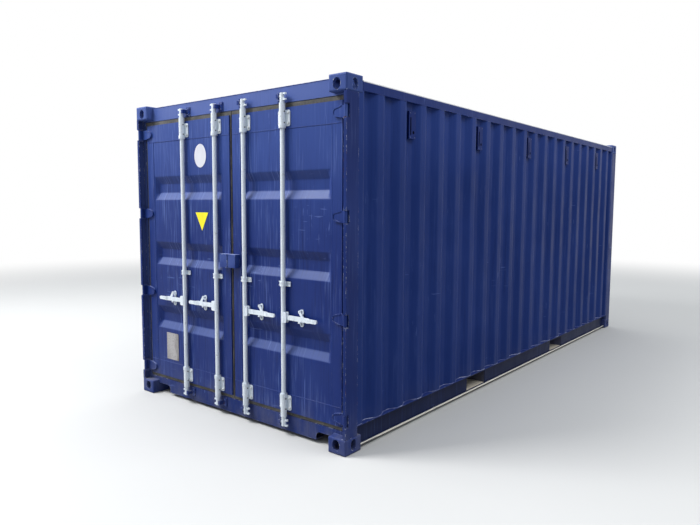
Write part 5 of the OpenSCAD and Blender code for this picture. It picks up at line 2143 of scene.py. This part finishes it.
@dataclass
class LeafFittings:
    """Fittings of both leaves: end guides as constructed, new middle guides and handle retainers."""

    middle: Pair = (0.5, 2.0)
    strap_rise: float = 0.017
    # The plate, then four ribs that leave room for the bar.
    strap_blocks: tuple[Block, ...] = (
        Block((-0.057, -0.017), (0.057, 0.017), 0.004, -0.0053, 0.0053),
        *(
            Block((left, low), (left + 0.0384, low + 0.006), 0.0026, -0.0105, 0.0103)
            for low in (-0.0174, 0.0114)
            for left in (-0.0574, 0.0190)
        ),
    )
    strap_ring: GuideCollars = field(
        default_factory=lambda: GuideCollars(
            inner=0.0175,
            outer=0.0250,
            profile=((0, 0), (0, 1), (0.18, 1), (0.22, 0.7), (0.78, 0.7), (0.82, 1), (1, 1), (1, 0)),
        )
    )
    lobe_depth: float = 0.0064
    lobe_height: float = 0.004
    lobe_radius: float = 0.0175
    # Height of each lobe and of its hole, then the hole's radius and half straight part.
    lobes: tuple[tuple[float, float, float, float], ...] = (
        (0.048, 0.049, 0.0060, 0.005),
        (-0.037, -0.039, 0.0050, 0.006),
    )
    # The neck, the tray that carries the lever and the tray's foot.
    retainer_blocks: tuple[Block, ...] = (
        Block((-0.011, -0.0235), (0.011, 0.0345), 0.002, 0.0004, 0.006),
        Block((-0.009, -0.0246), (0.009, -0.0176), 0.0015, -0.0286, 0.030),
        Block((-0.0087, -0.0300), (0.0087, -0.0180), 0.0015, -0.0290, 0.005),
    )

    def end_guides(self, node: str) -> bpy.types.Mesh:
        """Copy of a node's mesh without its middle guides and retainers.

        Args:
            node: Name of the CAD node.

        Returns:
            The mesh, in place and with no material.
        """
        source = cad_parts[node]
        mesh = source.data.copy()
        mesh.transform(source.matrix_world)
        bm = bmesh.new()
        bm.from_mesh(mesh)
        low, high = self.middle
        bmesh.ops.delete(bm, geom=[v for v in bm.verts if low < v.co.z < high], context="VERTS")
        bm.to_mesh(mesh)
        bm.free()
        mesh.materials.clear()
        return mesh

    def strap(self, bm: bmesh.types.BMesh, y: float) -> None:
        """Adds one middle guide: plate with parted ribs and a ribbed ring.

        Args:
            bm: Mesh to add to.
            y: Place of the bar's axis.
        """
        for block in self.strap_blocks:
            block.add(bm, (y, STRAP_LEVEL), from_end(LEAF_DEPTH))
        self.strap_ring.ring(bm, y, STRAP_LEVEL - self.strap_rise, STRAP_LEVEL + self.strap_rise)

    def retainer(self, bm: bmesh.types.BMesh, y: float) -> None:
        """Adds one handle retainer: two round lobes with holes, a neck and a small tray.

        Args:
            bm: Mesh to add to.
            y: Place of the retainer's middle.
        """
        front = from_end(LEAF_DEPTH) - self.lobe_depth

        def place(a: float, b: float, d: float) -> Point:
            """Place counted from the front of the lobes."""
            return (front + d, y + a, LEVER_LEVEL + b)

        for level, hole_level, hole_radius, hole_height in self.lobes:
            outer = slot((0.0, level), self.lobe_radius, self.lobe_height)
            hole = slot((0.0, hole_level), hole_radius, hole_height)
            eye(bm, outer, hole, place, self.lobe_depth)
        for block in self.retainer_blocks:
            block.add(bm, (y, LEVER_LEVEL), front)

    def build(self) -> None:
        """Makes the fittings of both leaves."""
        for side in Side:
            node = f"{side.word}_door_fittings"
            guides = dressed(f"end_guides_{side.body.value}", self.end_guides(node), Finish.ZINC)
            settle(guides, side.body, "zinc", node)
            bm = bmesh.new()
            for bar in BAR_PLACES:
                self.strap(bm, side.value * bar)
                self.retainer(bm, side.value * (bar + RETAINER_PLACE))
            piece = shaped(f"straps_and_retainers_{side.body.value}", bm, Finish.ZINC)
            settle(piece, side.body, "zinc")


@dataclass
class VentSlots:
    """Painted shade: thin dark films where the slot and hole in the face of every ventilator lie in shade."""

    proud: float = 0.0004
    slot_shift: float = -0.022
    slot_half: float = 0.007
    slot_insets: Pair = (0.030, 0.045)
    slot_corner: float = 0.006
    hole_middle: Pair = (0.016, 0.050)
    hole_radius: float = 0.012
    hole_points: int = 20

    def build(self) -> None:
        """Makes all painted slot shades as one piece."""
        low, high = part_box("ventilators")
        foot, top = self.slot_insets
        radii = (self.hole_radius, self.hole_radius)
        bm = bmesh.new()
        for side in Side:

            def place(a: float, b: float, depth: float, s: int = side.value) -> Point:
                """Place on the ventilator face."""
                return (a, s * (high.y + self.proud - depth), b)

            for i in range(-VENTS_EACH_WAY, VENTS_EACH_WAY + 1):
                middle = i * VENT_PITCH
                edge = middle + self.slot_shift
                corners = (edge - self.slot_half, low.z + foot), (edge + self.slot_half, high.z - top)
                slab(bm, rounded(*corners, self.slot_corner), place, self.proud)
                hole = (middle + self.hole_middle[0], low.z + self.hole_middle[1])
                slab(bm, oval(hole, radii, self.hole_points), place, self.proud)
        settle(shaped("vent_slots", bm, Finish.HOLLOW), Body.FRAME, "blue_paint")


# ---------------------------------------------------------------- dressing and studio


@dataclass
class Dresser:
    """Gives every CAD node that stays visible its finish."""

    by_prefix: dict[str, Finish] = field(
        default_factory=lambda: {
            "door_castings": Finish.CASTING,
            "front_castings": Finish.CASTING,
            "door_post": Finish.FRAME,
            "front_posts": Finish.FRAME,
            "door_header": Finish.HEADER,
            "door_sill": Finish.FRAME,
            "front_top_rail": Finish.FRAME,
            "front_sill": Finish.FRAME,
            "top_rail": Finish.TOP_RAIL,
            "bottom_rail": Finish.RAIL,
            "side_wall": Finish.WALL,
            "front_wall": Finish.WALL,
            "roof_panel": Finish.ROOF,
            "floor_boards": Finish.FLOOR,
            "cross_members": Finish.UNDER,
            "fork_pockets": Finish.UNDER,
            "ventilators": Finish.VENT,
            "cam_keepers": Finish.KEEPER,
            "hinge_lugs": Finish.FRAME,
            "locking_bar": Finish.ZINC,
            "handle": Finish.ZINC,
        }
    )
    leaf_parts: dict[str, Finish] = field(
        default_factory=lambda: {
            "door_frame": Finish.DOOR,
            "door_panel": Finish.DOOR,
            "door_gasket": Finish.GASKET,
            "door_hinges": Finish.DOOR,
            "door_fittings": Finish.ZINC,
            "lock_box": Finish.BOX,
        }
    )

    def finish_of(self, node: str) -> Finish:
        """Finish of a CAD node by its name.

        Args:
            node: Name of the node.

        Returns:
            Its finish.
        """
        for side in Side:
            if node.startswith(side.word + "_"):
                return self.leaf_parts[node[len(side.word) + 1 :]]
        for prefix, finish in self.by_prefix.items():
            if node.startswith(prefix):
                return finish
        raise KeyError(node)

    def build(self) -> None:
        """Dresses all nodes."""
        for name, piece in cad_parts.items():
            piece.data.materials.clear()
            piece.data.materials.append(self.finish_of(name).material)
        LOG.info("dressed %d nodes", len(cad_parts))


@dataclass(frozen=True)
class Lamp:
    """One soft square lamp."""

    name: str
    place: Point
    aim: Point
    size: float
    power: float


@dataclass
class Studio:
    """Pale floor, soft light and the camera at the photograph's angle."""

    camera_place: Point = (-6.168, -3.7751, 1.7161)
    camera_turn: Point = (84.78, -0.26, -51.18)
    lens: float = 31.4
    sensor: float = 36.0
    clip_end: float = 300.0
    floor_half: float = 60.0
    floor_fade: Pair = (7.5, 16.0)
    floor_pale: Colour = srgb(200, 200, 199)
    floor_cloud: float = 0.97
    floor_bounce: Colour = srgb(150, 148, 144)
    sky: Pair = (0.25, 1.0)
    sky_colour: Colour = (0.90, 0.95, 1.0)
    lamps: tuple[Lamp, ...] = (
        Lamp("key", (-7.7, 4.2, 9.8), (-3.0, 0.0, 1.4), 4.0, 1150.0),
        Lamp("sheen", (-6.4, 7.7, 6.8), (-3.0, 0.0, 1.4), 6.0, 320.0),
        Lamp("side", (0.0, -8.0, 11.0), (0.0, -1.2, 0.8), 6.0, 520.0),
        Lamp("top", (3.0, 2.0, 12.0), (1.0, 0.0, 0.0), 8.0, 250.0),
    )

    def camera(self) -> None:
        """Sets the camera."""
        data = bpy.data.cameras.new("camera")
        data.lens = self.lens
        data.sensor_width = self.sensor
        data.clip_end = self.clip_end
        holder = bpy.data.objects.new("camera", data)
        holder.location = self.camera_place
        holder.rotation_euler = Euler([math.radians(angle) for angle in self.camera_turn], "XYZ")
        bpy.context.scene.collection.objects.link(holder)
        bpy.context.scene.camera = holder

    def seen(self, g: NodeGraph) -> Socket:
        """Share of rays that look at a surface: camera, glossy and transmission rays.

        Args:
            g: Graph of the surface.

        Returns:
            The mask socket.
        """
        path = g.node("ShaderNodeLightPath")
        looked = g.math("MAXIMUM", path.outputs["Is Camera Ray"], path.outputs["Is Glossy Ray"])
        return g.math("MAXIMUM", looked, path.outputs["Is Transmission Ray"])

    def floor(self) -> None:
        """Lays a pale floor that keeps shadows near the object and turns white far out."""
        mesh = bpy.data.meshes.new("studio_floor")
        reach = self.floor_half
        corners = [(-reach, -reach, 0), (reach, -reach, 0), (reach, reach, 0), (-reach, reach, 0)]
        mesh.from_pydata(corners, [], [(0, 1, 2, 3)])
        ground = mesh_object("studio_floor", mesh)
        g = ShaderGraph("studio_floor")
        seen = self.seen(g)
        cloudy = tuple(self.floor_cloud * channel for channel in self.floor_pale)
        pale = g.blend(g.noise(0.6, detail=3), self.floor_pale, cloudy)
        g.feed("Base Color", g.blend(seen, self.floor_bounce, pale))
        g.set(Roughness=0.9, Specular_IOR_Level=0.1)
        distance = g.node("ShaderNodeVectorMath", {0: g.coords}, operation="LENGTH")
        far = g.math("MULTIPLY", seen, g.span(distance.outputs["Value"], *self.floor_fade))
        white = g.node("ShaderNodeEmission", {"Strength": 1.0})
        mix = g.node("ShaderNodeMixShader", {0: far, 1: g.shader.outputs[0], 2: white.outputs[0]})
        g.tree.links.new(mix.outputs[0], g.output.inputs["Surface"])
        ground.data.materials.append(g.material)

    def world(self) -> None:
        """Soft sky, brighter overhead, and white for everything that is looked at."""
        world = bpy.data.worlds.new("studio")
        bpy.context.scene.world = world
        world.use_nodes = True
        world.node_tree.nodes.clear()
        g = NodeGraph(world.node_tree)
        coords = g.node("ShaderNodeTexCoord").outputs["Generated"]
        height = g.node("ShaderNodeSeparateXYZ", {"Vector": coords}).outputs["Z"]
        rise = g.node("ShaderNodeMapRange", {"Value": height, "To Min": self.sky[0], "To Max": self.sky[1]})
        strength = rise.outputs["Result"]
        light = g.node("ShaderNodeBackground", {"Color": (*self.sky_colour, 1.0), "Strength": strength})
        white = g.node("ShaderNodeBackground", {"Color": (1.0, 1.0, 1.0, 1.0)})
        mix = g.node("ShaderNodeMixShader", {0: self.seen(g), 1: light.outputs[0], 2: white.outputs[0]})
        g.node("ShaderNodeOutputWorld", {"Surface": mix.outputs[0]})

    def lamp(self, lamp: Lamp) -> None:
        """Adds one soft square lamp.

        Args:
            lamp: The lamp's place, aim, size and power.
        """
        data = bpy.data.lights.new(lamp.name, "AREA")
        data.shape = "SQUARE"
        data.size = lamp.size
        data.energy = lamp.power
        holder = bpy.data.objects.new(lamp.name, data)
        holder.location = lamp.place
        holder.rotation_euler = (Vector(lamp.aim) - Vector(lamp.place)).to_track_quat("-Z", "Y").to_euler()
        bpy.context.scene.collection.objects.link(holder)

    def build(self) -> None:
        """Sets up the whole studio."""
        self.camera()
        self.floor()
        self.world()
        for lamp in self.lamps:
            self.lamp(lamp)
        bpy.context.scene.view_settings.view_transform = "Standard"


def main() -> None:
    """Builds everything in order."""
    logging.basicConfig(level=logging.INFO, format="%(name)s: %(message)s")
    Studio().build()
    Dresser().build()
    walls = SideWalls()
    walls.build()
    FrontWall().build()
    Roof().build()
    DoorPanels().build()
    Welds(walls).build()
    Fasteners().build()
    GuideCollars().build()
    LeafFittings().build()
    DoorMarks().build()
    VentSlots().build()


if __name__ == "__main__":
    main()
